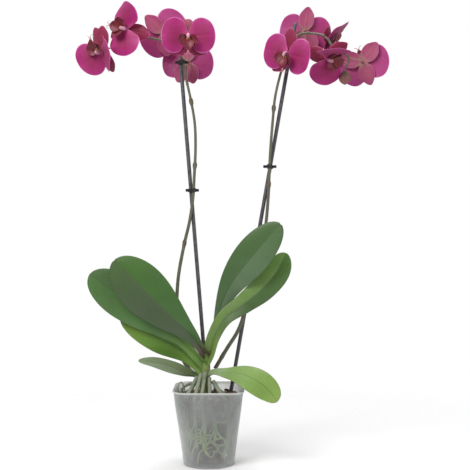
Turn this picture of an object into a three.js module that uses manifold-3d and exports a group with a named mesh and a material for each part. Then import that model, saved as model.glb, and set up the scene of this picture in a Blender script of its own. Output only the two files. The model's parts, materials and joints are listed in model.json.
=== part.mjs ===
// A potted moth orchid: a clear plastic pot of bark, seven leaves on a short crown, aerial roots, and
// two arched flower spikes tied to dark support stakes, with five open flowers on each and one bud.
// Millimetres. +X right, +Y back, +Z up. The origin is the centre of the pot's base.

import * as THREE from 'three';
import { LoftGeometry } from 'three/addons/geometries/LoftGeometry.js';
import { mergeVertices } from 'three/addons/utils/BufferGeometryUtils.js';
import Module from 'manifold-3d';

const wasm = await Module();
wasm.setup();

// ---- driving dimensions ----
const GAP = 0.4; // clear space between pieces that touch

const POT_HEIGHT = 128;
const POT_RIM_HALF = 58; // half width across the flats under the lip
const POT_BASE_HALF = 43;
const POT_RIM_CORNER = 24; // corner radius at the rim: the pot is round at its base
const POT_WALL = 1.4;
const POT_FLOOR = 3;
const POT_LIP = 1.6; // how far the rolled lip stands out
const POT_LIP_HEIGHT = 3;
const POT_CORNER_STEPS = 5;
const FOOT_RECESS_INNER = 12;
const FOOT_RECESS_OUTER = 36;
const FOOT_RECESS_DEPTH = 1.5;
const DRAIN_SLOTS = 6;
const DRAIN_SLOT_WIDTH = 4;
const DRAIN_SLOT_LENGTH = 16;

const BARK_TOP = 117;

const CROWN_BASE_RADIUS = 10.5;
const CROWN_TOP_RADIUS = 6.5;

const STAKE_RADIUS = 3.3;
const CLIP_HEIGHT = 6;
const CLIP_WALL = 1.6;
const CLIP_EAR = 6;
const CLIP_EAR_THICK = 2;

const SPIKE_BASE_RADIUS = 3.4;
const SPIKE_TIP_RADIUS = 1.6;
const SPIKE_STEPS = 34;
const PEDICEL_RADIUS = 1.3;
const PEDICEL_HOOK = 9; // the straight end of a pedicel behind its flower

const LEAF_THICK = 2.8;
const LEAF_EDGE = 1.1;
const LEAF_STEPS = 10;

const ROOT_END_SHARE = 0.75; // a root's radius at its far end, as a share of its first

const PETAL_REACH = 43;
const PETAL_WIDTH = 52;
const PETAL_THICK = 1.2;
const SEPAL_THICK = 1.4;
const SEPAL_FLOOR = -3; // back of a flower's hub, behind its centre
const HUB_RADIUS = 4;
const DORSAL_SEPAL = { reach: 42, width: 26 };
const LATERAL_SEPAL = { reach: 40, width: 24 };
const LIP_WIDTH = 24;
const LIP_THICK = 1.6;
const COLUMN_RADIUS = 2.7;
const TEPAL_STEPS = 5;

// ---- small helpers ----
const v = (x, y, z) => new THREE.Vector3(x, y, z);
const radians = THREE.MathUtils.degToRad;
const mix = THREE.MathUtils.lerp;

function curveThrough(points) {
  return new THREE.CatmullRomCurve3(points.map((p) => v(...p)), false, 'centripetal');
}

function solidOf(geometry) {
  const bare = new THREE.BufferGeometry();
  bare.setAttribute('position', geometry.getAttribute('position'));
  bare.setIndex(geometry.index);
  const merged = mergeVertices(bare, 1e-4);
  return new wasm.Manifold(
    new wasm.Mesh({
      numProp: 3,
      vertProperties: merged.getAttribute('position').array,
      triVerts: Uint32Array.from(merged.index.array),
    }),
  );
}

function geometryOf(solid) {
  const mesh = solid.getMesh();
  const geometry = new THREE.BufferGeometry();
  geometry.setAttribute('position', new THREE.Float32BufferAttribute(mesh.vertProperties, 3));
  geometry.setIndex(new THREE.Uint32BufferAttribute(mesh.triVerts, 1));
  geometry.computeVertexNormals();
  return geometry;
}

// A round rod of changing radius along a curve.
function rod(points, radiusAt, sides, steps) {
  const curve = curveThrough(points);
  const frames = curve.computeFrenetFrames(steps, false);
  const sections = [];
  for (let i = 0; i <= steps; i++) {
    const t = i / steps;
    const centre = curve.getPointAt(t);
    const radius = radiusAt(t);
    const ring = [];
    for (let j = 0; j < sides; j++) {
      const angle = (j / sides) * Math.PI * 2;
      ring.push(
        centre
          .clone()
          .addScaledVector(frames.normals[i], Math.cos(angle) * radius)
          .addScaledVector(frames.binormals[i], Math.sin(angle) * radius),
      );
    }
    sections.push(ring);
  }
  return solidOf(new LoftGeometry(sections, { capStart: true, capEnd: true }));
}

// A thin blade along a spine: width and gutter (the fold along the middle) change along it, and the
// across direction turns from the first side vector to the last.
const FIVE_ACROSS = [-1, -0.55, 0, 0.55, 1];
const THREE_ACROSS = [-1, 0, 1];

function blade({ spine, sides, width, gutter, thick, edge, steps, across = FIVE_ACROSS, end = 1 }) {
  const curve = curveThrough(spine);
  const sections = [];
  for (let i = 0; i <= steps; i++) {
    const t = (end * i) / steps;
    const centre = curve.getPointAt(t);
    const tangent = curve.getTangentAt(t);
    const side = v(...sides[0]).lerp(v(...sides[1]), t);
    side.addScaledVector(tangent, -side.dot(tangent)).normalize();
    const up = v(0, 0, 0).crossVectors(tangent, side);
    const half = width(t) / 2;
    const rise = gutter(t) * half;
    const at = (s, face) => {
      const skin = mix(thick, edge, s * s) / 2;
      return centre
        .clone()
        .addScaledVector(side, s * half)
        .addScaledVector(up, rise * Math.abs(s) + face * skin);
    };
    const under = across.map((s) => at(s, -1));
    const over = across.map((s) => at(s, 1)).reverse();
    sections.push([...under, ...over]);
  }
  return solidOf(new LoftGeometry(sections, { capStart: true, capEnd: true }));
}

// A cylinder that stands along Z, centred on the origin.
function upright(radius, height, sides) {
  const cylinder = new THREE.CylinderGeometry(radius, radius, height, sides);
  cylinder.rotateX(Math.PI / 2);
  return cylinder;
}

// ---- finishes ----
function finish(color, roughness, metalness = 0, extra = {}) {
  return () => new THREE.MeshStandardMaterial({ color, roughness, metalness, ...extra });
}

const finishes = {
  pot: finish(0xb9bdb6, 0.35, 0, { transparent: true, opacity: 0.5 }),
  bark: finish(0x3a2a20, 0.95),
  crown: finish(0x8fa36a, 0.55),
  leaf: finish(0x3f6b33, 0.4),
  root: finish(0x94988a, 0.75),
  spike: finish(0x6b6f55, 0.5),
  stake: finish(0x46434a, 0.45),
  clip: finish(0x17171a, 0.4),
  sepal: finish(0xa5437f, 0.55),
  petal: finish(0xb02f84, 0.5),
  lip: finish(0x6e1530, 0.5),
  bud: finish(0x8c6a5c, 0.6),
};

const orchid = new THREE.Group();

function addPiece(name, solid, kind) {
  const mesh = new THREE.Mesh(geometryOf(solid), finishes[kind]());
  mesh.name = name;
  orchid.add(mesh);
}

// ---- pot ----
// A rounded square of four corner arcs; with a corner radius equal to its half width it is a circle.
function roundedSquare(half, corner, z) {
  const ring = [];
  const steps = POT_CORNER_STEPS;
  for (let quarter = 0; quarter < 4; quarter++) {
    const middle = Math.PI / 4 + (quarter * Math.PI) / 2;
    const cx = Math.sign(Math.cos(middle)) * (half - corner);
    const cy = Math.sign(Math.sin(middle)) * (half - corner);
    for (let i = 0; i <= steps; i++) {
      const angle = (quarter + i / steps) * (Math.PI / 2);
      // a hair of difference keeps the corners apart where the shape is a full circle
      const radius = corner - 1e-3;
      ring.push(v(cx + Math.cos(angle) * radius, cy + Math.sin(angle) * radius, z));
    }
  }
  return ring;
}

// Half width and corner radius of the pot's outside at a height.
function potHalf(z) {
  return mix(POT_BASE_HALF, POT_RIM_HALF, z / POT_HEIGHT);
}

function potCorner(z) {
  const squareness = THREE.MathUtils.smoothstep(z / POT_HEIGHT, 0.1, 0.85);
  return mix(potHalf(z) * 0.98, POT_RIM_CORNER, squareness);
}

function potShell(inset, levels) {
  const rings = levels.map((z) => roundedSquare(potHalf(z) - inset, potCorner(z) - inset, z));
  return solidOf(new LoftGeometry(rings, { capStart: true, capEnd: true }));
}

function makePot() {
  const levels = [0, 20, 40, 60, 80, 100, POT_HEIGHT];
  const lipBottom = POT_HEIGHT - POT_LIP_HEIGHT;
  const outside = potShell(0, levels);
  const lipRings = [lipBottom, lipBottom + 1, POT_HEIGHT].map((z, i) => {
    const out = i === 0 ? 0.2 : POT_LIP;
    return roundedSquare(potHalf(z) + out, potCorner(z) + out, z);
  });
  const lip = solidOf(new LoftGeometry(lipRings, { capStart: true, capEnd: true }));
  const hollow = potShell(POT_WALL, [POT_FLOOR, 20, 40, 60, 80, 100, POT_HEIGHT + 5]);
  let pot = outside.add(lip).subtract(hollow);

  const recess = upright(FOOT_RECESS_OUTER, FOOT_RECESS_DEPTH * 2, 32);
  const pad = upright(FOOT_RECESS_INNER, FOOT_RECESS_DEPTH * 4, 24);
  pot = pot.subtract(solidOf(recess).subtract(solidOf(pad)));

  for (let i = 0; i < DRAIN_SLOTS; i++) {
    const slot = new THREE.BoxGeometry(DRAIN_SLOT_LENGTH, DRAIN_SLOT_WIDTH, POT_FLOOR * 4);
    slot.translate((FOOT_RECESS_INNER + FOOT_RECESS_OUTER) / 2, 0, 0);
    slot.rotateZ((i / DRAIN_SLOTS) * Math.PI * 2);
    pot = pot.subtract(solidOf(slot));
  }
  return pot;
}

addPiece('pot', makePot(), 'pot');

// ---- crown: the short stem that the leaves clasp ----
const CROWN_X = -7;
const CROWN_AXIS = [
  [CROWN_X, 2, 96],
  [CROWN_X, 1, 130],
  [CROWN_X + 2, 0, 165],
  [CROWN_X + 4, 0, 196],
];

function crownRod(extra) {
  return rod(CROWN_AXIS, (t) => mix(CROWN_BASE_RADIUS, CROWN_TOP_RADIUS, t) + extra, 12, 6);
}

const crown = crownRod(0);
const aroundCrown = crownRod(GAP);
addPiece('crown', crown, 'crown');

// ---- leaves ----
// A leaf narrows to its foot faster with a larger taper.
function leafWidth({ width, base, widest, taper }) {
  return (t) => {
    if (t < widest) {
      return width * mix(base, 1, Math.sin((t / widest) * (Math.PI / 2)) ** taper);
    }
    const past = (t - widest) / (1 - widest);
    return width * Math.sqrt(1 - past * past);
  };
}

// Spine from the crown to the tip, the across direction at both ends, and the widest place along it.
// A leaf folds along its middle, upwards seen from the crown, by the gutter's share of its half width.
const LEAVES = [
  {
    spine: [
      [-12, -14, 196], [-24, -17, 214], [-46, -21, 236],
      [-82, -26, 270], [-117, -29, 304], [-156, -32, 343],
    ],
    sides: [[0.7, -0.3, 0.7], [0.75, 0.1, 0.66]],
    width: 80, base: 0.2, widest: 0.68, taper: 1.7, gutter: -0.2,
  },
  {
    spine: [
      [-19, -4, 180], [-42, -5, 205], [-84, -5, 237],
      [-125, -5, 266], [-164, -8, 294], [-200, -13, 319],
    ],
    sides: [[0.6, -0.3, 0.7], [0.55, 0.1, 0.8]],
    width: 72, base: 0.22, widest: 0.7, taper: 2.4, gutter: -0.15,
  },
  {
    spine: [[-19, 4, 162], [-42, 8, 184], [-80, 10, 208], [-116, 11, 228], [-150, 11, 247]],
    sides: [[0.5, -0.4, 0.8], [0.4, 0.1, 0.85]],
    width: 52, base: 0.28, widest: 0.55, taper: 1.5, gutter: -0.15,
  },
  {
    spine: [[-19, 0, 143], [-38, -5, 152], [-62, -11, 162], [-90, -14, 170], [-118, -16, 173]],
    sides: [[0.3, -0.6, 0.75], [0.15, -0.65, 0.7]],
    width: 30, base: 0.4, widest: 0.45, taper: 1.5, gutter: 0.1,
  },
  {
    spine: [
      [5, 13, 190], [12, 16, 222], [21, 15, 262],
      [39, 7, 303], [72, -10, 348], [105, -22, 387], [120, -26, 403],
    ],
    sides: [[-0.9, 0.2, 0.3], [-0.75, 0.1, 0.6]],
    width: 58, base: 0.2, widest: 0.72, taper: 3.6, gutter: 0.12,
  },
  {
    spine: [
      [4, -5, 186], [11, -9, 216], [27, -13, 245],
      [57, -8, 267], [90, 10, 293], [116, 20, 323], [131, 24, 354],
    ],
    sides: [[-0.8, 0.4, 0.3], [-0.5, 0, 0.85]],
    width: 44, base: 0.5, widest: 0.8, taper: 3, gutter: 0.24,
  },
  {
    spine: [
      [7, -10, 150], [30, -20, 153], [56, -32, 152],
      [82, -42, 142], [101, -48, 127], [112, -52, 112],
    ],
    sides: [[0.1, 0.8, 0.5], [0.75, 0.4, 0.5]],
    width: 50, base: 0.3, widest: 0.62, taper: 1.7, gutter: 0.15,
  },
];

const leafSolids = LEAVES.map((leaf) =>
  blade({
    spine: leaf.spine,
    sides: leaf.sides,
    width: leafWidth(leaf),
    gutter: (t) => leaf.gutter * (1 - 0.6 * t),
    thick: LEAF_THICK,
    edge: LEAF_EDGE,
    steps: LEAF_STEPS,
    end: 0.99,
  }).subtract(aroundCrown),
);
leafSolids.forEach((solid, i) => addPiece(`leaf_${i + 1}`, solid, 'leaf'));

// ---- stakes ----
const STAKES = {
  left: { foot: [5, 23, 12], top: [-49, 10, 684] },
  right: { foot: [19, 34, 12], top: [147, 18, 747] },
};

function stakeRod(stake, extra) {
  const { foot, top } = STAKES[stake];
  return rod([foot, top], () => STAKE_RADIUS + extra, 8, 1);
}

function stakePoint(stake, z) {
  const foot = v(...STAKES[stake].foot);
  const top = v(...STAKES[stake].top);
  return foot.lerp(top, (z - foot.z) / (top.z - foot.z));
}

for (const stake of Object.keys(STAKES)) {
  addPiece(`stake_${stake}`, stakeRod(stake, 0), 'stake');
}

// ---- roots ----
// Each root leaves the crown, dives into the bark and may run on along the inside of the wall.
const ROOTS = [
  {
    radius: 3.9,
    route: [
      [-19, -9, 146], [-27, -19, 132], [-35, -34, 118],
      [-36, -41, 98], [-34, -38, 70], [-28, -36, 42],
    ],
  },
  {
    radius: 3.6,
    route: [
      [-13, -13, 152], [-18, -26, 133], [-22, -40, 116],
      [-22, -43, 96], [-20, -40, 62], [-18, -37, 30],
    ],
  },
  {
    radius: 3.6,
    route: [
      [-6, -14.5, 155], [-9, -25, 134], [-11, -38, 115], [-8, -46, 92],
      [-6, -42, 64], [-7, -38, 34], [3, -36, 18],
    ],
  },
  {
    radius: 3.4,
    route: [[1, -14, 146], [2, -26, 128], [3, -38, 112], [8, -46, 94], [12, -43, 70], [10, -40, 44]],
  },
  {
    radius: 3.8,
    route: [
      [7, -11, 140], [16, -20, 127], [26, -32, 114], [30, -42, 96],
      [34, -36, 66], [30, -32, 36], [21, -31, 16],
    ],
  },
  {
    radius: 3.2,
    route: [[9, -6, 128], [20, -8, 122], [32, -14, 112], [40, -20, 96]],
  },
  {
    radius: 2.8,
    route: [[-20, 4, 134], [-36, 2, 132], [-46, -4, 124], [-44, -8, 108]],
  },
  {
    radius: 1.6,
    route: [
      [-47, -18, 100], [-49, -18, 118], [-51, -18, 134],
      [-46, -16, 139], [-41, -14, 128], [-42, -12, 106],
    ],
  },
];

function rootRod(root, extra) {
  return rod(root.route, (t) => root.radius * mix(1, ROOT_END_SHARE, t) + extra, 6, root.route.length + 3);
}

ROOTS.forEach((root, i) => addPiece(`root_${i + 1}`, rootRod(root, 0).subtract(aroundCrown), 'root'));

// ---- bark ----
function makeBark() {
  const levels = [POT_FLOOR + GAP, 30, 60, 90, BARK_TOP];
  let bark = potShell(POT_WALL + GAP, levels).subtract(aroundCrown);
  for (const stake of Object.keys(STAKES)) {
    bark = bark.subtract(stakeRod(stake, GAP));
  }
  for (const root of ROOTS) {
    bark = bark.subtract(rootRod(root, GAP));
  }
  return bark;
}

addPiece('bark', makeBark(), 'bark');

// ---- flowers ----
// A flower looks along its own +Z with its dorsal sepal along +Y. yaw 0 looks to the front (-Y) and grows
// to the right, pitch is upwards, and roll turns the dorsal sepal anticlockwise as seen from its front.
function flowerFrame({ at, yaw, pitch, roll }) {
  const yawR = radians(yaw);
  const pitchR = radians(pitch);
  const facing = v(
    Math.sin(yawR) * Math.cos(pitchR),
    -Math.cos(yawR) * Math.cos(pitchR),
    Math.sin(pitchR),
  );
  const up = v(0, 0, 1).addScaledVector(facing, -facing.z).normalize();
  up.applyAxisAngle(facing, radians(roll));
  const right = v(0, 0, 0).crossVectors(up, facing);
  return new THREE.Matrix4().makeBasis(right, up, facing).setPosition(...at);
}

// An oval outline that is widest at its centre and narrows to both ends.
const oval = (width, centre, half) => (t) =>
  width * Math.sqrt(Math.max(1 - ((t - centre) / half) ** 2, 0.03));

function hub(radius, z0, z1) {
  const disc = upright(radius, z1 - z0, 8);
  disc.translate(0, 0, (z0 + z1) / 2);
  return solidOf(disc);
}

// A sepal or petal: flat across the hub, then leaning towards the flower's front by the lean angle.
function tepal({ angle, lean, twist = 0, reach, width, z, thick, centre, half, across }) {
  const a = radians(angle);
  const tilt = radians(lean);
  const length = reach - HUB_RADIUS;
  const point = (d, height) => [-Math.sin(a) * d, Math.cos(a) * d, height];
  const leaned = (share, extra) =>
    point(
      HUB_RADIUS + Math.cos(tilt + extra) * length * share,
      z + Math.sin(tilt + extra) * length * share,
    );
  const side = [Math.cos(a), Math.sin(a), 0];
  const turned = Math.cos(radians(twist));
  const tipSide = [side[0] * turned, side[1] * turned, Math.sin(radians(twist))];
  return blade({
    spine: [point(0.5, z), point(HUB_RADIUS, z), leaned(0.5, 0.06), leaned(1, 0)],
    sides: [side, tipSide],
    width: oval(width, centre, half),
    gutter: () => 0.04,
    thick,
    edge: thick * 0.6,
    steps: TEPAL_STEPS,
    across,
  });
}

function makeSepals({ dorsal, lateral, spread }) {
  let sepals = hub(HUB_RADIUS, SEPAL_FLOOR, SEPAL_FLOOR + SEPAL_THICK + 0.6);
  const three = [
    { angle: 0, lean: dorsal, ...DORSAL_SEPAL },
    { angle: 180 - spread, lean: lateral, ...LATERAL_SEPAL },
    { angle: spread - 180, lean: lateral, ...LATERAL_SEPAL },
  ];
  const shape = { z: SEPAL_FLOOR + 1, thick: SEPAL_THICK, centre: 0.52, half: 0.5, across: THREE_ACROSS };
  for (const sepal of three) {
    sepals = sepals.add(tepal({ ...sepal, ...shape }));
  }
  return sepals;
}

function makePetals({ petalLeft, petalRight, petalAngle, petalTurn, twistLeft, twistRight }) {
  let petals = hub(HUB_RADIUS * 0.8, 0, PETAL_THICK + 0.8);
  const two = [
    { angle: petalTurn + petalAngle, lean: petalLeft, twist: twistLeft },
    { angle: petalTurn - petalAngle, lean: petalRight, twist: twistRight },
  ];
  const shape = { z: 1, thick: PETAL_THICK, centre: 0.54, half: 0.48 };
  const size = { reach: PETAL_REACH, width: PETAL_WIDTH };
  for (const petal of two) {
    petals = petals.add(tepal({ ...petal, ...shape, ...size }));
  }
  return petals;
}

function makeLip() {
  const column = rod([[0, 0, 2.7], [0, 1, 7], [0, -1, 11]], (t) => COLUMN_RADIUS * mix(0.9, 1, t), 7, 2);
  const tongue = blade({
    spine: [[0, -2, 6], [0, -9, 11], [0, -17, 13], [0, -26, 11]],
    sides: [[1, 0, 0], [1, 0, 0]],
    width: (t) => LIP_WIDTH * mix(0.3, 1, Math.sin(Math.PI * Math.min(t * 1.2, 1))),
    gutter: (t) => mix(0.6, 0.1, t),
    thick: LIP_THICK,
    edge: 1,
    steps: 4,
    across: THREE_ACROSS,
    end: 0.97,
  });
  return column.add(tongue);
}

// Where each flower's centre is, which way it looks, and how far its sepals and petals lean forwards.
const FLOWERS = {
  left_1: {
    at: [-33, -38, 712], yaw: 3, pitch: -4, roll: 0,
    dorsal: -38, spread: 54, petalLeft: 4, petalRight: 4,
  },
  left_2: { at: [-80, 34, 734], yaw: 172, pitch: 5, roll: -45 },
  left_3: { at: [-38, 40, 684], yaw: 178, pitch: -10, roll: 4, spread: 20 },
  left_4: {
    at: [-138, -22, 728], yaw: -28, pitch: -4, roll: -108,
    dorsal: -14, lateral: -12, spread: 28, petalTurn: 12, petalRight: 8, twistLeft: 34,
  },
  left_5: {
    at: [-182, -8, 695], yaw: -34, pitch: -30, roll: -176,
    dorsal: -8, lateral: -24, spread: 14, petalAngle: 66, petalLeft: 38, petalRight: 40,
  },
  right_1: {
    at: [131, -34, 684], yaw: -36, pitch: -6, roll: -10,
    spread: 46, petalTurn: -8, petalLeft: 8, petalRight: 2,
  },
  right_2: { at: [165, 34, 736], yaw: 172, pitch: 0, roll: 8, petalLeft: 12 },
  right_3: {
    at: [211, 30, 719], yaw: 60, pitch: -14, roll: -66,
    lateral: 8, spread: 44, petalLeft: 40, petalRight: 26,
  },
  right_4: {
    at: [198, -32, 677], yaw: 22, pitch: -32, roll: 92,
    dorsal: -50, spread: 40, petalLeft: 10, petalRight: 54,
  },
  right_5: {
    at: [263, 22, 681], yaw: 165, pitch: 0, roll: 160,
    spread: 58, petalAngle: 74, petalLeft: 4, petalRight: 4,
  },
};
const FLOWER_DEFAULTS = {
  dorsal: 0,
  lateral: 0,
  spread: 33,
  petalAngle: 90,
  petalTurn: 0,
  petalLeft: 6,
  petalRight: 6,
  twistLeft: 0,
  twistRight: 0,
};

for (const [name, pose] of Object.entries(FLOWERS)) {
  const flower = { ...FLOWER_DEFAULTS, ...pose };
  const turn = flowerFrame(flower).elements;
  addPiece(`flower_${name}_sepals`, makeSepals(flower).transform(turn), 'sepal');
  addPiece(`flower_${name}_petals`, makePetals(flower).transform(turn), 'petal');
  addPiece(`flower_${name}_lip`, makeLip().transform(turn), 'lip');
}

// ---- bud ----
const BUD = { at: [228.8, -8, 650], radius: 10.5, length: 25 };

function makeBud() {
  const profile = [];
  const steps = 8;
  for (let i = 0; i <= steps; i++) {
    const t = i / steps;
    const radius = i === 0 || i === steps ? 0 : BUD.radius * Math.sin(Math.PI * t ** 0.85);
    profile.push(new THREE.Vector2(radius, mix(-BUD.length / 2, BUD.length / 2, t)));
  }
  const bud = new THREE.LatheGeometry(profile, 12);
  bud.rotateX(Math.PI / 2);
  bud.translate(...BUD.at);
  return solidOf(bud);
}

addPiece('bud', makeBud(), 'bud');

// ---- flower spikes ----
const SPIKES = {
  left: {
    route: [
      [-21, 8, 146], [-34, 12, 157], [-46, 18, 174], [-55, 24, 206], [-57, 27, 243],
      [-56, 27, 277], [-53, 24, 315], [-43, 17, 368], [-33, 11, 410], [-27, 8, 452],
      [-25, 6, 487], [-23, 5, 529], [-24, 4, 572], [-30, 3, 610], [-37, 3, 642],
      [-44, 3, 676], [-54, 0, 698], [-67, -2, 709], [-84, -3, 714], [-100, -3, 717],
      [-117, -3, 719], [-134, 9, 717], [-150, 24, 711], [-161, 24, 705],
    ],
    stalks: [
      { t: 0.82, flower: 'left_1' },
      { t: 0.86, flower: 'left_2' },
      { t: 0.74, flower: 'left_3' },
      { t: 0.95, flower: 'left_4' },
      { t: 0.99, flower: 'left_5' },
    ],
  },
  right: {
    route: [
      [10, 8, 158], [30, 14, 191], [49, 20, 221], [64, 21.5, 262], [79, 25, 313],
      [90, 24, 359], [97, 20, 405], [101, 18, 453], [103, 16, 502], [105, 13, 538],
      [108, 11, 577], [112, 9, 618], [120, 8, 654], [131, 8, 688], [139, 6, 708],
      [149, 3, 722], [162, 0, 726], [176, -2, 725], [190, -12, 720], [199, -20, 711],
      [206, -23, 700], [218, -16, 693], [229, -11, 689], [235, -9, 682], [233, -8.5, 672],
      [229.6, -8, 663.2],
    ],
    stalks: [
      { t: 0.78, flower: 'right_1' },
      { t: 0.83, flower: 'right_2' },
      { t: 0.87, flower: 'right_3' },
      { t: 0.93, flower: 'right_4' },
      { t: 0.965, flower: 'right_5' },
    ],
  },
};

function stemRod(route, extra) {
  return rod(route, (t) => mix(SPIKE_BASE_RADIUS, SPIKE_TIP_RADIUS, t) + extra, 7, SPIKE_STEPS);
}

function makeSpike({ route, stalks }) {
  const curve = curveThrough(route);
  let spike = stemRod(route, 0);
  for (const stalk of stalks) {
    const turn = flowerFrame(FLOWERS[stalk.flower]);
    const root = curve.getPointAt(Math.round(stalk.t * SPIKE_STEPS) / SPIKE_STEPS);
    const tip = v(0, 0, SEPAL_FLOOR - GAP).applyMatrix4(turn);
    const behind = v(0, 0, SEPAL_FLOOR - GAP - PEDICEL_HOOK).applyMatrix4(turn);
    const bend = root.clone().lerp(behind, 0.5);
    const points = [root, bend, behind, tip].map((p) => p.toArray());
    spike = spike.add(rod(points, () => PEDICEL_RADIUS, 5, 6));
  }
  return spike;
}

for (const [name, spike] of Object.entries(SPIKES)) {
  addPiece(`spike_${name}`, makeSpike(spike).subtract(aroundCrown), 'spike');
}

// ---- clips: a collar round the stake and the spike, with two flat ears to squeeze ----
const CLIPS = {
  left_low: { side: 'left', z: 461 },
  left_top: { side: 'left', z: 678 },
  right: { side: 'right', z: 501.5 },
};

function spikePoint(side, z) {
  const { route } = SPIKES[side];
  const next = route.findIndex((point) => point[2] > z);
  const [low, high] = [route[next - 1], route[next]];
  return v(...low).lerp(v(...high), (z - low[2]) / (high[2] - low[2]));
}

function makeClip({ side, z }) {
  const centres = [stakePoint(side, z), spikePoint(side, z)];
  const middle = centres[0].clone().lerp(centres[1], 0.5);
  const radius = STAKE_RADIUS + GAP + CLIP_WALL;
  let clip;
  for (const centre of [...centres, middle]) {
    const post = upright(radius, CLIP_HEIGHT, 12);
    post.translate(centre.x, centre.y, z);
    clip = clip ? clip.add(solidOf(post)) : solidOf(post);
  }
  for (const turn of [-1, 1]) {
    const ear = new THREE.BoxGeometry(CLIP_EAR, CLIP_EAR_THICK, CLIP_HEIGHT * 0.8);
    ear.translate(turn * (radius + CLIP_EAR / 2 - 1.5), 0, 0);
    ear.rotateZ(radians(-8 * turn));
    ear.translate(middle.x, middle.y, z);
    clip = clip.add(solidOf(ear));
  }
  return clip.subtract(stakeRod(side, GAP)).subtract(stemRod(SPIKES[side].route, GAP));
}

for (const [name, clip] of Object.entries(CLIPS)) {
  addPiece(`clip_${name}`, makeClip(clip), 'clip');
}

export default orchid;
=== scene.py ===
# %% [markdown]
# # A potted moth orchid
# A moth orchid is sold in a clear plastic pot of bark, because its roots like light and air. Two flower
# stems rise between the leaves, and each is clipped to a thin stake so that the heavy blooms arch over.
# This lesson loads the plain working model and then makes every visible piece of the plant around it.

# %% Load the frame
import json
import math
import random

import bpy
from mathutils import Euler, Matrix, Vector, noise

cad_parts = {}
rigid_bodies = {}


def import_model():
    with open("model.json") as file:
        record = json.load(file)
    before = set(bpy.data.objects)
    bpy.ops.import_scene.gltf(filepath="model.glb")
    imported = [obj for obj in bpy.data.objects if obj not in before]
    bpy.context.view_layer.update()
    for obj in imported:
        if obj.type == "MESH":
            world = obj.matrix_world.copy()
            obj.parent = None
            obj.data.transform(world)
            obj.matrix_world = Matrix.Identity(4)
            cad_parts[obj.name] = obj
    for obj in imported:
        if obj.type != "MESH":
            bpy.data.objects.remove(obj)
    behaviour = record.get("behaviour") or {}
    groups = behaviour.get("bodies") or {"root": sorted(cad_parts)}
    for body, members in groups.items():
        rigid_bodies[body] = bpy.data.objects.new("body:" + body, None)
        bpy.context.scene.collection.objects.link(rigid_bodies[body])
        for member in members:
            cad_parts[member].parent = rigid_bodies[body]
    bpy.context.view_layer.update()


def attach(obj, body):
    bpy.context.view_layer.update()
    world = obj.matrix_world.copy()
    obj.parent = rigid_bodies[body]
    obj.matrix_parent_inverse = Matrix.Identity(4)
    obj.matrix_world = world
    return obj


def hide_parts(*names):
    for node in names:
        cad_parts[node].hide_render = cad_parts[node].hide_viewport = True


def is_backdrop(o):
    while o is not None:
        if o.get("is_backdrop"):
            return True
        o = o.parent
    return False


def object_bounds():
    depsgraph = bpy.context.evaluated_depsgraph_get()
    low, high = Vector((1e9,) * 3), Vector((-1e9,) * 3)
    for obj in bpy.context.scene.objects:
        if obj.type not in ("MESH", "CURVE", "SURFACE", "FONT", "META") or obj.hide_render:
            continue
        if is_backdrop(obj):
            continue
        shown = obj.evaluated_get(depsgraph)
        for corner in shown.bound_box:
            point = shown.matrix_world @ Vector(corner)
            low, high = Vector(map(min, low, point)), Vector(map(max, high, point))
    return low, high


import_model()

MM = 0.001
BODY = "root"
random.seed(7)
noise.seed_set(7)

# %% [markdown]
# ## Small helpers
# Every value below is in millimetres, as a grower or a mould maker would give it, and is turned into
# metres once, when it becomes a point. An operator acts on all that is selected, so each one starts from
# a single selected piece.

# %% Helpers for points and selection
def point(x, y, z):
    return Vector((x, y, z)) * MM


def mix(a, b, t):
    return a + (b - a) * t


def smoothstep(low, high, value):
    t = min(max((value - low) / (high - low), 0.0), 1.0)
    return t * t * (3 - 2 * t)


def select_only(*pieces):
    for other in bpy.context.view_layer.objects:
        other.select_set(False)
    for piece in pieces:
        piece.select_set(True)
    if pieces:
        bpy.context.view_layer.objects.active = pieces[0]


def apply_modifier(piece, kind, **settings):
    modifier = piece.modifiers.new(kind.title(), kind)
    for name, value in settings.items():
        setattr(modifier, name, value)
    select_only(piece)
    bpy.ops.object.modifier_apply(modifier=modifier.name)


def subdivide_smoothly(piece, levels=1):
    apply_modifier(piece, "SUBSURF", levels=levels, render_levels=levels)


def join(name, parts):
    select_only(*parts)
    bpy.ops.object.join()
    whole = bpy.context.active_object
    whole.name = name
    return whole


def settle(piece):
    """The piece's place goes into its mesh, and its surface is shaded smooth."""
    select_only(piece)
    bpy.ops.object.transform_apply(location=True, rotation=True, scale=True)
    bpy.ops.object.shade_smooth_by_angle(angle=math.radians(50))
    return piece


def stands_for(piece, slot, *nodes):
    settle(piece)
    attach(piece, BODY)
    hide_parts(*nodes)
    print(piece.name, "has", len(piece.data.polygons), "faces")


# %% [markdown]
# ## Camera, floor and light
# A tall plant is photographed from half its height with a long lens, so that the stems stay straight.
# The camera could tilt down instead, but then the pot would lean. The floor fades out before its edge,
# so no horizon line crosses the plant, and three large soft lights stand in for studio panels.

# %% Camera
CAMERA_X = 44
CAMERA_DISTANCE = 1500
CAMERA_HEIGHT = 385
LENS = 68.0

camera_data = bpy.data.cameras.new("camera")
camera_data.lens = LENS
camera = bpy.data.objects.new("camera", camera_data)
camera.location = point(CAMERA_X, -CAMERA_DISTANCE, CAMERA_HEIGHT)
camera.rotation_euler = (math.radians(90), 0, 0)
bpy.context.scene.collection.objects.link(camera)
bpy.context.scene.camera = camera
bpy.context.scene.view_settings.view_transform = "Standard"

# %% Shader helpers
def add_node(tree, kind, inputs=None, **settings):
    """A shader node with its settings, and with a constant or another node's socket on each input."""
    node = tree.nodes.new(kind)
    for name, value in settings.items():
        setattr(node, name, value)
    for name, value in (inputs or {}).items():
        if isinstance(value, bpy.types.NodeSocket):
            tree.links.new(value, node.inputs[name])
        else:
            node.inputs[name].default_value = value
    return node


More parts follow.
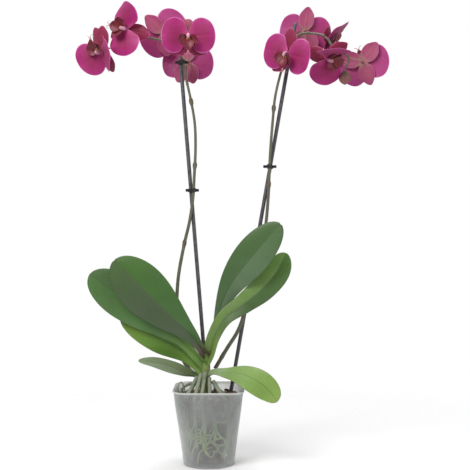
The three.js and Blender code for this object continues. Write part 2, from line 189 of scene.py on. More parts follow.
def blend_colours(tree, factor, a, b):
    return add_node(tree, "ShaderNodeMix", {0: factor, 6: a, 7: b}, data_type="RGBA").outputs[2]


def calculate(tree, operation, a, b=0.5, c=0.5):
    return add_node(tree, "ShaderNodeMath", {0: a, 1: b, 2: c}, operation=operation).outputs[0]


def part_of(tree, value, share):
    return calculate(tree, "MULTIPLY", value, share)


def opposite(tree, value):
    return calculate(tree, "SUBTRACT", 1.0, value)


def object_place(tree):
    return add_node(tree, "ShaderNodeTexCoord").outputs["Object"]


def ramp_between(tree, value, low, high):
    """0 below low, 1 above high and a soft step between them."""
    node = add_node(
        tree, "ShaderNodeMapRange", {0: value, 1: low, 2: high}, interpolation_type="SMOOTHSTEP"
    )
    return node.outputs[0]


def colour(red, green, blue):
    """A colour as it is seen, 0 to 255, turned into the light values that a shader takes."""
    def linear(channel):
        share = channel / 255
        return share / 12.92 if share <= 0.04045 else ((share + 0.055) / 1.055) ** 2.4
    return (linear(red), linear(green), linear(blue), 1.0)


def new_material(name, **constants):
    material = bpy.data.materials.new(name)
    material.use_nodes = True
    shader = material.node_tree.nodes["Principled BSDF"]
    for socket, value in constants.items():
        shader.inputs[socket.replace("_", " ")].default_value = value
    return material, material.node_tree, shader


def feed(tree, shader, **values):
    for socket, value in values.items():
        tree.links.new(value, shader.inputs[socket.replace("_", " ")])


# %% Floor and lights
FLOOR_RADIUS = 900
FLOOR_CLEAR = 110
FLOOR_TONE = 0.96

select_only()
bpy.ops.mesh.primitive_circle_add(vertices=96, radius=FLOOR_RADIUS * MM, fill_type="NGON")
floor = bpy.context.active_object
floor.name = "floor"
floor_material, tree, shader = new_material(
    "pale_floor", Roughness=0.9, Specular_IOR_Level=0.1, Base_Color=(FLOOR_TONE, FLOOR_TONE, FLOOR_TONE, 1)
)
reach = add_node(tree, "ShaderNodeVectorMath", {0: object_place(tree)}, operation="LENGTH").outputs["Value"]
feed(tree, shader, Alpha=opposite(tree, ramp_between(tree, reach, FLOOR_CLEAR * MM, FLOOR_RADIUS * MM)))
floor.data.materials.append(floor_material)
floor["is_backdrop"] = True

# the backdrop is seen as white, but sends less light on to the plant, so that the panels shape it
BACKDROP = 1.0
AMBIENT = 0.42

world = bpy.data.worlds.new("studio")
world.use_nodes = True
studio = world.node_tree.nodes["Background"]
studio.inputs["Color"].default_value = (1, 1, 1, 1)
seen = add_node(world.node_tree, "ShaderNodeLightPath").outputs["Is Camera Ray"]
level = add_node(world.node_tree, "ShaderNodeMapRange", {0: seen, 3: AMBIENT, 4: BACKDROP})
world.node_tree.links.new(level.outputs[0], studio.inputs["Strength"])
bpy.context.scene.world = world


def soft_light(name, place, aim, size, watts):
    data = bpy.data.lights.new(name, "AREA")
    data.size = size * MM
    data.energy = watts
    light = bpy.data.objects.new(name, data)
    light.location = point(*place)
    light.rotation_euler = (point(*place) - point(*aim)).to_track_quat("Z", "Y").to_euler()
    bpy.context.scene.collection.objects.link(light)


soft_light("key_panel", (-900, -1300, 1700), (0, 0, 400), 1000, 30)
soft_light("fill_panel", (1400, -900, 700), (40, 0, 380), 1200, 6)
soft_light("top_panel", (100, 500, 1900), (0, 0, 500), 1000, 14)

# %% [markdown]
# ## Smooth routes
# Stems, roots and leaf midribs grow along smooth lines. A few given points say where each one
# goes, and a curve that passes through all of them, with no overshoot at the sharp turns, fills in the
# rest. The working model uses the same points, so the fine pieces lie exactly where it says.

# %% A curve through points
def curve_between(p0, p1, p2, p3, t):
    """A centripetal Catmull-Rom segment from p1 to p2."""
    d0, d1, d2 = (max((b - a).length ** 0.5, 1e-6) for a, b in ((p0, p1), (p1, p2), (p2, p3)))
    start = ((p1 - p0) / d0 - (p2 - p0) / (d0 + d1) + (p2 - p1) / d1) * d1
    end = ((p2 - p1) / d1 - (p3 - p1) / (d1 + d2) + (p3 - p2) / d2) * d1
    a = 2 * p1 - 2 * p2 + start + end
    b = -3 * p1 + 3 * p2 - 2 * start - end
    return a * t**3 + b * t**2 + start * t + p1


def smooth_route(points, steps):
    """steps + 1 points spaced evenly along the curve through the given points, in millimetres."""
    given = [Vector(p) for p in points]
    ends = [given[0] * 2 - given[1], *given, given[-1] * 2 - given[-2]]
    dense = [given[0]]
    for i in range(len(given) - 1):
        for j in range(1, 25):
            dense.append(curve_between(*ends[i : i + 4], j / 24))
    lengths = [0.0]
    for a, b in zip(dense, dense[1:]):
        lengths.append(lengths[-1] + (b - a).length)
    route = []
    k = 0
    for i in range(steps + 1):
        want = lengths[-1] * i / steps
        while k < len(lengths) - 2 and lengths[k + 1] < want:
            k += 1
        span = max(lengths[k + 1] - lengths[k], 1e-9)
        route.append(dense[k].lerp(dense[k + 1], (want - lengths[k]) / span))
    return route


def tube(name, route, radius_at, material, sides=12):
    """A round stem along a route, in millimetres, made as a curve with a round section."""
    data = bpy.data.curves.new(name, "CURVE")
    data.dimensions = "3D"
    data.bevel_depth = MM
    data.bevel_resolution = max(sides // 4 - 1, 0)
    data.use_fill_caps = True
    spline = data.splines.new("POLY")
    spline.points.add(len(route) - 1)
    for i, p in enumerate(route):
        spline.points[i].co = (*(p * MM), 1)
        spline.points[i].radius = radius_at(i / (len(route) - 1))
    stem = bpy.data.objects.new(name, data)
    bpy.context.scene.collection.objects.link(stem)
    stem.data.materials.append(material)
    select_only(stem)
    bpy.ops.object.convert(target="MESH")
    return bpy.context.active_object


# %% [markdown]
# ## Shared patterns
# Two effects show on many living surfaces, so each is a shader group that is built once. Veins are fine
# lines that run from the base of a leaf or petal to its tip and follow its own map. Mottle is the soft
# uneven tone of anything that grew. A painted picture could show both, but it would blur when seen close.

# %% Shader groups for veins and mottle
def new_group(name, inputs, outputs):
    tree = bpy.data.node_groups.new(name, "ShaderNodeTree")
    for socket, kind, default in inputs:
        made = tree.interface.new_socket(name=socket, in_out="INPUT", socket_type=kind)
        if default is not None:
            made.default_value = default
    for socket, kind in outputs:
        tree.interface.new_socket(name=socket, in_out="OUTPUT", socket_type=kind)
    return tree, tree.nodes.new("NodeGroupInput").outputs, tree.nodes.new("NodeGroupOutput").inputs


VALUE = "NodeSocketFloat"
VECTOR = "NodeSocketVector"

veins, given, result = new_group(
    "veins",
    [("Map", VECTOR, None), ("Count", VALUE, 20.0), ("Wander", VALUE, 0.02), ("Width", VALUE, 0.3)],
    [("Lines", VALUE)],
)
parts = add_node(veins, "ShaderNodeSeparateXYZ", {0: given["Map"]})
wobble = add_node(veins, "ShaderNodeTexNoise", {"Vector": given["Map"], "Scale": 7.0, "Detail": 3.0})
shift = part_of(veins, calculate(veins, "SUBTRACT", wobble.outputs[0], 0.5), given["Wander"])
across = calculate(veins, "ADD", parts.outputs["X"], shift)
half_turns = part_of(veins, given["Count"], math.pi)
wave = calculate(veins, "SINE", part_of(veins, across, half_turns))
ridge = opposite(veins, calculate(veins, "ABSOLUTE", wave))
line = ramp_between(veins, ridge, opposite(veins, given["Width"]), 1.0)
veins.links.new(line, result["Lines"])

mottle, given, result = new_group(
    "mottle",
    [("Place", VECTOR, None), ("Scale", VALUE, 60.0), ("Contrast", VALUE, 0.5)],
    [("Tone", VALUE)],
)
cloud = add_node(
    mottle, "ShaderNodeTexNoise", {"Vector": given["Place"], "Scale": given["Scale"], "Detail": 5.0}
)
half = part_of(mottle, given["Contrast"], 0.5)
low = calculate(mottle, "SUBTRACT", 0.5, half)
high = calculate(mottle, "ADD", 0.5, half)
mottle.links.new(ramp_between(mottle, cloud.outputs[0], low, high), result["Tone"])


def uneven(tree, place, scale, contrast=0.5):
    inputs = {"Place": place, "Scale": scale, "Contrast": contrast}
    return add_node(tree, "ShaderNodeGroup", inputs, node_tree=mottle).outputs[0]


def vein_lines(tree, uv, count, wander, width):
    inputs = {"Map": uv, "Count": count, "Wander": wander, "Width": width}
    return add_node(tree, "ShaderNodeGroup", inputs, node_tree=veins).outputs[0]


def add_bump(tree, shader, height, depth, strength=0.5):
    bump = add_node(tree, "ShaderNodeBump", {"Height": height, "Strength": strength, "Distance": depth * MM})
    feed(tree, shader, Normal=bump.outputs[0])


def two_tone_finish(name, roughness, scale, tones, depth, contrast=0.5, rough_share=0.0):
    """A plain skin in two soft tones with a bump where they meet; its rough patches can vary as well."""
    material, tree, shader = new_material(name, Roughness=roughness)
    tone = uneven(tree, object_place(tree), scale, contrast)
    feed(tree, shader, Base_Color=blend_colours(tree, tone, colour(*tones[0]), colour(*tones[1])))
    if rough_share:
        feed(tree, shader, Roughness=calculate(tree, "MULTIPLY_ADD", tone, rough_share, roughness))
    add_bump(tree, shader, tone, depth)
    return material


# %% [markdown]
# ## The pot
# The real pot is thin clear plastic blown into a mould: round at its foot, nearly square at its rim, with
# a small rolled lip. It could be cut from a block, but a mould maker thinks in rings, so a ring is
# extruded upwards level by level, each level is set to its own outline, and the wall gets its thickness
# last.

# %% The pot's outline
POT_HEIGHT = 128
POT_RIM_HALF = 58
POT_BASE_HALF = 43
POT_RIM_CORNER = 24
POT_WALL = 1.4
POT_LIP = 1.6
POT_COLUMNS = 96
BARK_TOP = 117


def pot_half(z):
    return mix(POT_BASE_HALF, POT_RIM_HALF, z / POT_HEIGHT)


def pot_corner(z):
    return mix(pot_half(z) * 0.98, POT_RIM_CORNER, smoothstep(0.1, 0.85, z / POT_HEIGHT))


def pot_radius(angle, z, grow=0.0):
    """The distance from the axis to the outline of the rounded square at a height."""
    half = pot_half(z) + grow
    corner = pot_corner(z) + grow
    turn = abs((angle + math.pi / 4) % (math.pi / 2) - math.pi / 4)
    flat = half - corner
    if half * math.tan(turn) <= flat:
        return half / math.cos(turn)
    both = math.cos(turn) + math.sin(turn)
    return flat * both + math.sqrt(max((flat * both) ** 2 - 2 * flat**2 + corner**2, 0))


# %% Model the pot
# each level is a height, and how far the outline stands out there from the plain wall
FOOT_LEVELS = [(0.0, -1.6), (1.2, -0.3), (2.2, 0.0)]
WALL_LEVELS = [(z, 0.0) for z in range(12, 122, 10)]
LIP_LEVELS = [
    (124.6, 0.0), (125.1, 0.7), (125.6, POT_LIP), (126.8, POT_LIP + 0.2), (127.6, POT_LIP - 0.2),
    (POT_HEIGHT, POT_LIP - 1.0),
]
FOOT_RING = 12
RECESS_WIDTH = 16
RECESS_DEPTH = 1.6
RECESS_SLOPE = 1.5
pot_levels = FOOT_LEVELS + WALL_LEVELS + LIP_LEVELS

select_only()
bpy.ops.mesh.primitive_circle_add(vertices=POT_COLUMNS, radius=POT_BASE_HALF * MM, fill_type="NGON")
pot = bpy.context.active_object
bpy.ops.object.mode_set(mode="EDIT")
bpy.ops.mesh.select_all(action="SELECT")
bpy.ops.mesh.flip_normals()
bpy.ops.mesh.inset(thickness=FOOT_RING * MM)
bpy.ops.mesh.inset(thickness=RECESS_SLOPE * MM, depth=-RECESS_DEPTH * MM)
bpy.ops.mesh.inset(thickness=RECESS_WIDTH * MM)
bpy.ops.mesh.inset(thickness=RECESS_SLOPE * MM, depth=RECESS_DEPTH * MM)
bpy.ops.mesh.select_all(action="DESELECT")
bpy.ops.mesh.select_mode(type="EDGE")
bpy.ops.mesh.select_non_manifold()
for low, high in zip(pot_levels, pot_levels[1:]):
    bpy.ops.mesh.extrude_edges_move(TRANSFORM_OT_translate={"value": (0, 0, (high[0] - low[0]) * MM)})
bpy.ops.object.mode_set(mode="OBJECT")
ring_start = len(pot.data.vertices) - POT_COLUMNS * (len(pot_levels) - 1)
for i, vertex in enumerate(pot.data.vertices):
    on_first = i < POT_COLUMNS
    if not on_first and i < ring_start:
        continue
    level = 0 if on_first else 1 + (i - ring_start) // POT_COLUMNS
    z, grow = pot_levels[level]
    angle = math.atan2(vertex.co.y, vertex.co.x)
    radius = pot_radius(angle, z, grow) * MM
    vertex.co = (math.cos(angle) * radius, math.sin(angle) * radius, z * MM)
apply_modifier(pot, "SOLIDIFY", thickness=POT_WALL * MM, offset=-1, use_even_offset=True)
pot.name = "clear_pot"
print("pot wall in mm:", POT_WALL)

# %% [markdown]
# The plastic is clear but scuffed, and damp inside, so it looks like thin frosted glass. Real glass
# shading would be slow and noisy here. A milky surface that lets about half of what is behind it through
# gives the same look, and grazing edges let less through, as a real wall does.

# %% The pot's plastic
POT_MILK = colour(196, 199, 197)
POT_STREAK = colour(168, 172, 170)
POT_RIM_TONE = colour(214, 216, 212)
MILK_SHARE = 0.14
DAMP_SHARE = 0.12
FOG_SHARE = 0.12
RIM_SHARE = 0.3
GRAZING_SHARE = 0.75
FOG_FROM, FOG_TO = 50, 96


def stretched(tree, place, share):
    """The same place with its height pressed to a share, which draws a pattern out into streaks."""
    return add_node(tree, "ShaderNodeMapping", {"Vector": place, "Scale": (1, 1, share)}).outputs[0]


def height_of(tree, place):
    return add_node(tree, "ShaderNodeSeparateXYZ", {0: place}).outputs["Z"]


pot_plastic, tree, shader = new_material("pot_plastic", Roughness=0.32, IOR=1.45)
place = object_place(tree)
streak = uneven(tree, stretched(tree, place, 0.22), 30.0, 0.6)
damp = uneven(tree, place, 60.0, 0.6)
height = height_of(tree, place)
at_rim = ramp_between(tree, height, (POT_HEIGHT - 4) * MM, (POT_HEIGHT - 2) * MM)
fog = ramp_between(tree, height, FOG_FROM * MM, FOG_TO * MM)
facing = add_node(tree, "ShaderNodeLayerWeight", {"Blend": 0.35}).outputs["Facing"]
milk = blend_colours(tree, streak, POT_MILK, POT_STREAK)
cover = calculate(tree, "MULTIPLY_ADD", damp, DAMP_SHARE, MILK_SHARE)
for mask, share in ((fog, FOG_SHARE), (at_rim, RIM_SHARE), (facing, GRAZING_SHARE)):
    cover = calculate(tree, "MULTIPLY_ADD", mask, share, cover)
feed(tree, shader, Base_Color=blend_colours(tree, at_rim, milk, POT_RIM_TONE), Alpha=cover)
add_bump(tree, shader, streak, 0.25)
pot.data.materials.append(pot_plastic)
stands_for(pot, "pot_plastic", "pot")

# %% [markdown]
# ## The bark
# Orchid mix is chips of pine bark, dark and damp, with air between them. A solid block would look like
# soil. So one lumpy bed fills the middle, and chips modelled three times are scattered over its top and
# against the wall, each turned its own way.

# %% Bark finish
bark_finish, tree, shader = new_material("bark_chip", Roughness=0.85)
place = object_place(tree)
grain = uneven(tree, place, 260.0)
patch = part_of(tree, uneven(tree, place, 45.0, 0.3), 0.5)
dark = blend_colours(tree, grain, colour(34, 25, 21), colour(82, 58, 44))
feed(tree, shader, Base_Color=blend_colours(tree, patch, dark, colour(122, 72, 48)))
add_bump(tree, shader, grain, 0.8, 0.8)

# %% Where the roots run
# each root has its radius and its route, from the crown down
ROOTS = [
    (3.9, [
        (-19, -9, 146), (-27, -19, 132), (-35, -34, 118), (-36, -41, 98), (-34, -38, 70), (-28, -36, 42),
    ]),
    (3.6, [
        (-13, -13, 152), (-18, -26, 133), (-22, -40, 116), (-22, -43, 96), (-20, -40, 62), (-18, -37, 30),
    ]),
    (3.6, [
        (-6, -14.5, 155), (-9, -25, 134), (-11, -38, 115), (-8, -46, 92), (-6, -42, 64), (-7, -38, 34),
        (3, -36, 18),
    ]),
    (3.4, [(1, -14, 146), (2, -26, 128), (3, -38, 112), (8, -46, 94), (12, -43, 70), (10, -40, 44)]),
    (3.8, [
        (7, -11, 140), (16, -20, 127), (26, -32, 114), (30, -42, 96), (34, -36, 66), (30, -32, 36),
        (21, -31, 16),
    ]),
    (3.2, [(9, -6, 128), (20, -8, 122), (32, -14, 112), (40, -20, 96)]),
    (2.8, [(-20, 4, 134), (-36, 2, 132), (-46, -4, 124), (-44, -8, 108)]),
    (1.6, [
        (-47, -18, 100), (-49, -18, 118), (-51, -18, 134), (-46, -16, 139), (-41, -14, 128), (-42, -12, 106),
    ]),
]
ROOT_CLEAR = 12
root_places = [place for _, route in ROOTS for place in smooth_route(route, 24)]


def hides_a_root(x, y, z):
    return any((Vector((x, y, z)) - place).length < ROOT_CLEAR for place in root_places)


# %% Model the bark
CHIP_KINDS = 3
CHIPS_ON_TOP = 120
CHIPS_AT_WALL = 300
CHIP_SIZE = Vector((15, 9, 4.5))
CHIP_LUMPS = 2.6
BED_DEPTH_FROM_WALL = 16
BED_LUMPS = 2.5
ROOT_SIDE = 17


def model_chip(number):
    select_only()
    bpy.ops.mesh.primitive_cube_add(size=1)
    chip = bpy.context.active_object
    bpy.ops.object.mode_set(mode="EDIT")
    bpy.ops.mesh.select_all(action="SELECT")
    bpy.ops.mesh.subdivide(number_cuts=1, smoothness=0.3)
    bpy.ops.mesh.vertices_smooth(factor=0.3)
    bpy.ops.object.mode_set(mode="OBJECT")
    for vertex in chip.data.vertices:
        push = noise.noise_vector(vertex.co * 1.7 + Vector((number * 9, 3, 5)))
        vertex.co = (vertex.co * CHIP_SIZE + push * CHIP_LUMPS) * MM
    chip.data.materials.append(bark_finish)
    return chip


def copy_of(pattern, place, turn, size=1.0):
    other = bpy.data.objects.new(pattern.name, pattern.data.copy())
    other.data.transform(Matrix.Translation(place) @ turn.to_matrix().to_4x4() @ Matrix.Scale(size, 4))
    bpy.context.scene.collection.objects.link(other)
    return other


def on_outline(angle, radius, z):
    return point(radius * math.cos(angle), radius * math.sin(angle), z)


chips = [model_chip(i) for i in range(CHIP_KINDS)]
bark_parts = []
for i in range(CHIPS_ON_TOP):
    angle = random.uniform(0, 2 * math.pi)
    reach = math.sqrt(random.uniform(0.0, 1.0))
    radius = (pot_radius(angle, BARK_TOP) - 9) * reach
    z = BARK_TOP - 5 + random.uniform(-2.5, 2.5)
    turn = Euler((random.uniform(-0.5, 0.5), random.uniform(-0.5, 0.5), random.uniform(0, 6.28)))
    place = on_outline(angle, radius, z)
    bark_parts.append(copy_of(chips[i % CHIP_KINDS], place, turn, random.uniform(0.6, 1.1)))
for i in range(CHIPS_AT_WALL):
    angle = random.uniform(0, 2 * math.pi)
    z = random.uniform(10, BARK_TOP - 8)
    radius = pot_radius(angle, z) - random.uniform(5.2, 8.2)
    if hides_a_root(radius * math.cos(angle), radius * math.sin(angle), z):
        radius = pot_radius(angle, z) - ROOT_SIDE
    turn = Euler((math.pi / 2, random.uniform(-1.5, 1.5), angle + math.pi / 2))
    place = on_outline(angle, radius, z)
    bark_parts.append(copy_of(chips[i % CHIP_KINDS], place, turn, random.uniform(0.55, 1.0)))
for chip in chips:
    bpy.data.objects.remove(chip)

select_only()
bpy.ops.mesh.primitive_cylinder_add(vertices=64, radius=1, depth=1, end_fill_type="NGON")
bed = bpy.context.active_object
bpy.ops.object.mode_set(mode="EDIT")
bpy.ops.mesh.select_all(action="SELECT")
bpy.ops.mesh.bisect(plane_co=(0, 0, 0), plane_no=(0, 0, 1))
for share in (-0.36, -0.24, -0.12, 0.12, 0.24, 0.36, 0.45):
    bpy.ops.mesh.select_all(action="SELECT")
    bpy.ops.mesh.bisect(plane_co=(0, 0, share), plane_no=(0, 0, 1))
bpy.ops.object.mode_set(mode="OBJECT")
for vertex in bed.data.vertices:
    z = mix(4, BARK_TOP - 7, vertex.co.z + 0.5)
    angle = math.atan2(vertex.co.y, vertex.co.x)
    lump = noise.noise(Vector((math.cos(angle) * 4, math.sin(angle) * 4, z * 0.12))) * BED_LUMPS
    radius = pot_radius(angle, z) - POT_WALL - BED_DEPTH_FROM_WALL + lump
    vertex.co = on_outline(angle, radius, z)
bed.data.materials.append(bark_finish)
bark = join("bark_chips", [bed, *bark_parts])
stands_for(bark, "bark", "bark")

# %% [markdown]
# ## Leaves
# An orchid leaf is a thick leathery blade, folded along a sunk midrib and narrow where it clasps the
# crown. It could be cut from a flat sheet, but its fold, twist and swelling change all the way along, and
# no single operator gives that. So a grid is added, each of its points is moved by the leaf's own rule,
# and Solidify gives it flesh that is thick in the middle and thin at the margin.

# %% Sheet of points for a blade
def blank_sheet(name, columns, rows):
    """A flat grid from -1 to 1 both ways, with its own map; 'rim' is 1 at the border and 0 in the middle."""
    select_only()
    bpy.ops.mesh.primitive_grid_add(x_subdivisions=columns, y_subdivisions=rows, size=2)
    sheet = bpy.context.active_object
    sheet.name = name
    rim = sheet.data.attributes.new("rim", "FLOAT", "POINT")
    for vertex, mark in zip(sheet.data.vertices, rim.data):
        mark.value = max(abs(vertex.co.x), abs(vertex.co.y))
    return sheet


def shape_sheet(sheet, rule):
    """Each point goes where rule(across, along) says, in millimetres; across is -1 to 1, along 0 to 1."""
    for vertex in sheet.data.vertices:
        vertex.co = Vector(rule(vertex.co.x, (vertex.co.y + 1) / 2)) * MM
    sheet.data.update()


def flesh(sheet, thick, edge_share, levels=1, back_material=0):
    """Thickness behind the sheet, full in the middle and edge_share of it at the sides."""
    middle = sheet.vertex_groups.new(name="middle")
    half = len(sheet.data.vertices)
    rim = [mark.value for mark in sheet.data.attributes["rim"].data]
    for i in range(half):
        middle.add([i], 1 - (1 - edge_share) * rim[i] ** 2, "REPLACE")
    apply_modifier(
        sheet, "SOLIDIFY", thickness=thick * MM, offset=-1, vertex_group="middle",
        material_offset=back_material,
    )
    subdivide_smoothly(sheet, levels)


# %% The leaves' own shapes
LEAF_THICK = 2.8
LEAF_COLUMNS = 24
LEAF_ROWS = 44
MIDRIB_SINK = 0.9
MARGIN_SWAY = 1.3
RIB_HEIGHT = 0.16

# the spine runs from the crown to the tip, and sides are the directions across the blade at both ends;
# the last line of each leaf holds its tones: its two halves, which carry painted sheen and painted shade, its
# tip and its foot
LEAVES = [
    dict(
        spine=[
            (-12, -14, 196), (-24, -17, 214), (-46, -21, 236), (-82, -26, 270), (-117, -29, 304),
            (-156, -32, 343),
        ],
        sides=[(0.7, -0.3, 0.7), (0.75, 0.1, 0.66)], width=80, base=0.2, widest=0.68, taper=1.7, gutter=-0.2,
        left=(66, 82, 58), right=(58, 104, 36), tip=(74, 110, 46), foot=(98, 70, 66), foot_reach=0.2,
    ),
    dict(
        spine=[
            (-19, -4, 180), (-42, -5, 205), (-84, -5, 237), (-125, -5, 266), (-164, -8, 294),
            (-200, -13, 319),
        ],
        sides=[(0.6, -0.3, 0.7), (0.55, 0.1, 0.8)], width=72, base=0.22, widest=0.7, taper=2.4, gutter=-0.15,
        left=(76, 122, 54), right=(70, 108, 56), tip=(76, 114, 58), foot=(112, 148, 64),
    ),
    dict(
        spine=[(-19, 4, 162), (-42, 8, 184), (-80, 10, 208), (-116, 11, 228), (-150, 11, 247)],
        sides=[(0.5, -0.4, 0.8), (0.4, 0.1, 0.85)], width=52, base=0.28, widest=0.55, taper=1.5, gutter=-0.15,
        left=(98, 144, 40), right=(86, 130, 38), tip=(128, 154, 52), foot=(122, 156, 68),
    ),
    dict(
        spine=[(-19, 0, 143), (-38, -5, 152), (-62, -11, 162), (-90, -14, 170), (-118, -16, 173)],
        sides=[(0.3, -0.6, 0.75), (0.15, -0.65, 0.7)], width=30, base=0.4, widest=0.45, taper=1.5, gutter=0.1,
        left=(140, 162, 122), right=(118, 140, 90), tip=(144, 166, 126), foot=(128, 146, 100),
    ),
    dict(
        spine=[
            (5, 13, 190), (12, 16, 222), (21, 15, 262), (39, 7, 303), (72, -10, 348), (105, -22, 387),
            (120, -26, 403),
        ],
        sides=[(-0.9, 0.2, 0.3), (-0.75, 0.1, 0.6)], width=61, base=0.2, widest=0.72, taper=3.2, gutter=0.12,
        left=(92, 118, 84), right=(68, 102, 54), tip=(70, 106, 50), foot=(122, 140, 116),
    ),
    dict(
        spine=[
            (4, -5, 186), (11, -9, 216), (27, -13, 245), (57, -8, 267), (90, 10, 293), (116, 20, 323),
            (131, 24, 354),
        ],
        sides=[(-0.8, 0.4, 0.3), (-0.5, 0, 0.85)], width=46, base=0.5, widest=0.8, taper=2.8, gutter=0.24,
        left=(42, 80, 24), right=(102, 136, 62), tip=(98, 150, 46), foot=(122, 150, 78),
    ),
    dict(
        spine=[
            (7, -10, 150), (30, -20, 153), (56, -32, 152), (82, -42, 142), (101, -48, 127), (112, -52, 112),
        ],
        sides=[(0.1, 0.8, 0.5), (0.75, 0.4, 0.5)], width=50, base=0.3, widest=0.62, taper=1.7, gutter=0.15,
        left=(120, 156, 66), right=(124, 158, 70), tip=(134, 166, 72), foot=(156, 172, 140),
    ),
]


def leaf_half_width(leaf, t):
    if t < leaf["widest"]:
        share = mix(leaf["base"], 1, math.sin(t / leaf["widest"] * math.pi / 2) ** leaf["taper"])
    else:
        past = (t - leaf["widest"]) / (1 - leaf["widest"])
        share = math.sqrt(max(1 - past * past, 0.0))
    return leaf["width"] / 2 * share


def spine_frames(spine, sides, rows):
    """For each row along a blade: its middle point, the direction across it and the direction out of it."""
    route = smooth_route(spine, rows)
    frames = []
    for i, centre in enumerate(route):
        ahead = route[min(i + 1, rows)]
        behind = route[max(i - 1, 0)]
        tangent = (ahead - behind).normalized()
        side = Vector(sides[0]).lerp(Vector(sides[1]), i / rows)
        side = (side - tangent * side.dot(tangent)).normalized()
        frames.append((centre, side, tangent.cross(side)))
    return frames


LEAF_END = 0.9995
LEAF_FINE = 900
SHEATH_LENGTH = 22


def crown_middle(z):
    """The crown leans a little to the right as it rises."""
    return Vector((-7 + 4 * smoothstep(130, 200, z), 0, z))


def leaf_rule(leaf, number):
    """The blade, with a sheath that runs back from its first point to the middle of the crown."""
    first = Vector(leaf["spine"][0])
    sheath_root = crown_middle(first.z - SHEATH_LENGTH * 0.7)
    frames = spine_frames([sheath_root, *leaf["spine"]], leaf["sides"], LEAF_FINE)
    length = sum((b[0] - a[0]).length for a, b in zip(frames, frames[1:]))
    sheath = (first - sheath_root).length / length
    direction = 1 if leaf["gutter"] > 0 else -1
    top = LEAF_THICK / 2 * direction

    def rule(across, along):
        # the rows lie closer together towards the tip, which then closes in a round curve
        t = mix(along, math.sin(along * math.pi / 2), 0.7 * along) * LEAF_END
        centre, side, up = frames[round(t * LEAF_FINE)]
        blade = max((t - sheath) / (1 - sheath), 0.0)
        half = leaf_half_width(leaf, blade)
        spread = math.sin(across * math.pi / 2) * 0.35 + across * 0.65
        clasp = 1 + 2.6 * (1 - smoothstep(0.0, 0.2, blade))
        fold = leaf["gutter"] * (1 - 0.6 * blade) * clasp * half * abs(spread)
        curl = -0.10 * direction * half * abs(spread) ** 3 * smoothstep(0.25, 0.7, blade)
        sway = math.sin(t * 7 + number * 1.9 + (0.7 if across > 0 else 0)) * MARGIN_SWAY * spread * spread
        rib = -direction * MIDRIB_SINK * math.exp(-((across / 0.07) ** 2)) * (1 - 0.5 * blade)
        ribs = RIB_HEIGHT * math.cos(across * 26) * (1 - abs(across))
        return centre + side * (spread * half) + up * (fold + curl + sway + rib + ribs + top)

    return rule


# %% [markdown]
# A leaf's green is never one green. Its two halves get two greens that paint light and shade into them, one
# with a painted sheen and the other with painted shade; the foot is bluish and waxy, the tip is yellower,
# and fine veins run its whole length. The leaf's own map drives all of that, so the tones follow the blade
# and don't slide over it.

# %% Leaf finish
VEIN_TONE = colour(168, 190, 120)
RIB_PALE = colour(140, 164, 104)
# painted shade along the sunk midrib groove
MIDRIB_PAINTED_SHADE = colour(36, 50, 26)
MARGIN_TONE = colour(66, 74, 44)


def leaf_finish(number, leaf):
    material, tree, shader = new_material(
        f"leaf_skin_{number}", Roughness=0.42, Coat_Weight=0.12, Coat_Roughness=0.35
    )
    left, right, tip, foot = (colour(*leaf[part]) for part in ("left", "right", "tip", "foot"))
    deep = colour(*(channel * 0.72 for channel in leaf["right"]))
    uv = add_node(tree, "ShaderNodeUVMap", uv_map="UVMap").outputs[0]
    parts = add_node(tree, "ShaderNodeSeparateXYZ", {0: uv}).outputs
    across, along = parts["X"], parts["Y"]
    place = object_place(tree)
    tone = uneven(tree, place, 22.0, 0.4)
    fine = vein_lines(tree, uv, 46.0, 0.01, 0.5)
    from_rib = calculate(tree, "ABSOLUTE", calculate(tree, "SUBTRACT", across, 0.5))
    rim = add_node(tree, "ShaderNodeAttribute", attribute_name="rim").outputs["Fac"]
    # each tone lies over the one before, as far as its mask lets it; the sunk midrib gets a dark line of
    # painted shade between two pale ones
    # the two halves' tones are painted light: one half holds a painted sheen, the other painted shade
    body = blend_colours(tree, ramp_between(tree, across, 0.47, 0.53), left, right)
    for mask, share, tint in (
        (ramp_between(tree, along, 0.45, 1.0), 0.65, tip),
        (opposite(tree, ramp_between(tree, along, 0.02, leaf.get("foot_reach", 0.45))), 1.0, foot),
        (tone, 0.35, deep),
        (fine, 0.16, VEIN_TONE),
        (opposite(tree, ramp_between(tree, from_rib, 0.006, 0.03)), 0.22, RIB_PALE),
        (opposite(tree, ramp_between(tree, from_rib, 0.004, 0.012)), 0.85, MIDRIB_PAINTED_SHADE),
        (ramp_between(tree, rim, 0.965, 1.0), 0.55, MARGIN_TONE),
    ):
        body = blend_colours(tree, part_of(tree, mask, share), body, tint)
    feed(tree, shader, Base_Color=body, Roughness=calculate(tree, "MULTIPLY_ADD", tone, 0.14, 0.34))
    skin = uneven(tree, place, 700.0, 0.8)
    add_bump(tree, shader, calculate(tree, "MULTIPLY_ADD", skin, 0.25, fine), 0.25)
    return material


# %% Grow the leaves
for number, leaf in enumerate(LEAVES, 1):
    sheet = blank_sheet(f"leaf_blade_{number}", LEAF_COLUMNS, LEAF_ROWS)
    shape_sheet(sheet, leaf_rule(leaf, number))
    if leaf["gutter"] < 0:
        select_only(sheet)
        bpy.ops.object.mode_set(mode="EDIT")
        bpy.ops.mesh.select_all(action="SELECT")
        bpy.ops.mesh.flip_normals()
        bpy.ops.object.mode_set(mode="OBJECT")
    sheet.data.materials.append(leaf_finish(number, leaf))
    flesh(sheet, LEAF_THICK, 0.4)
    stands_for(sheet, "leaf", f"leaf_{number}")

# %% [markdown]
# ## Crown and aerial roots
# The crown is the short stem that the leaves clasp. Thick roots leave it, hang in the air for a while and
# dive into the bark. Their skin is silvery when dry and green where it stays wet, behind the pot's wall.
# Both are tubes along a route, and small swellings keep them from looking like pipe.

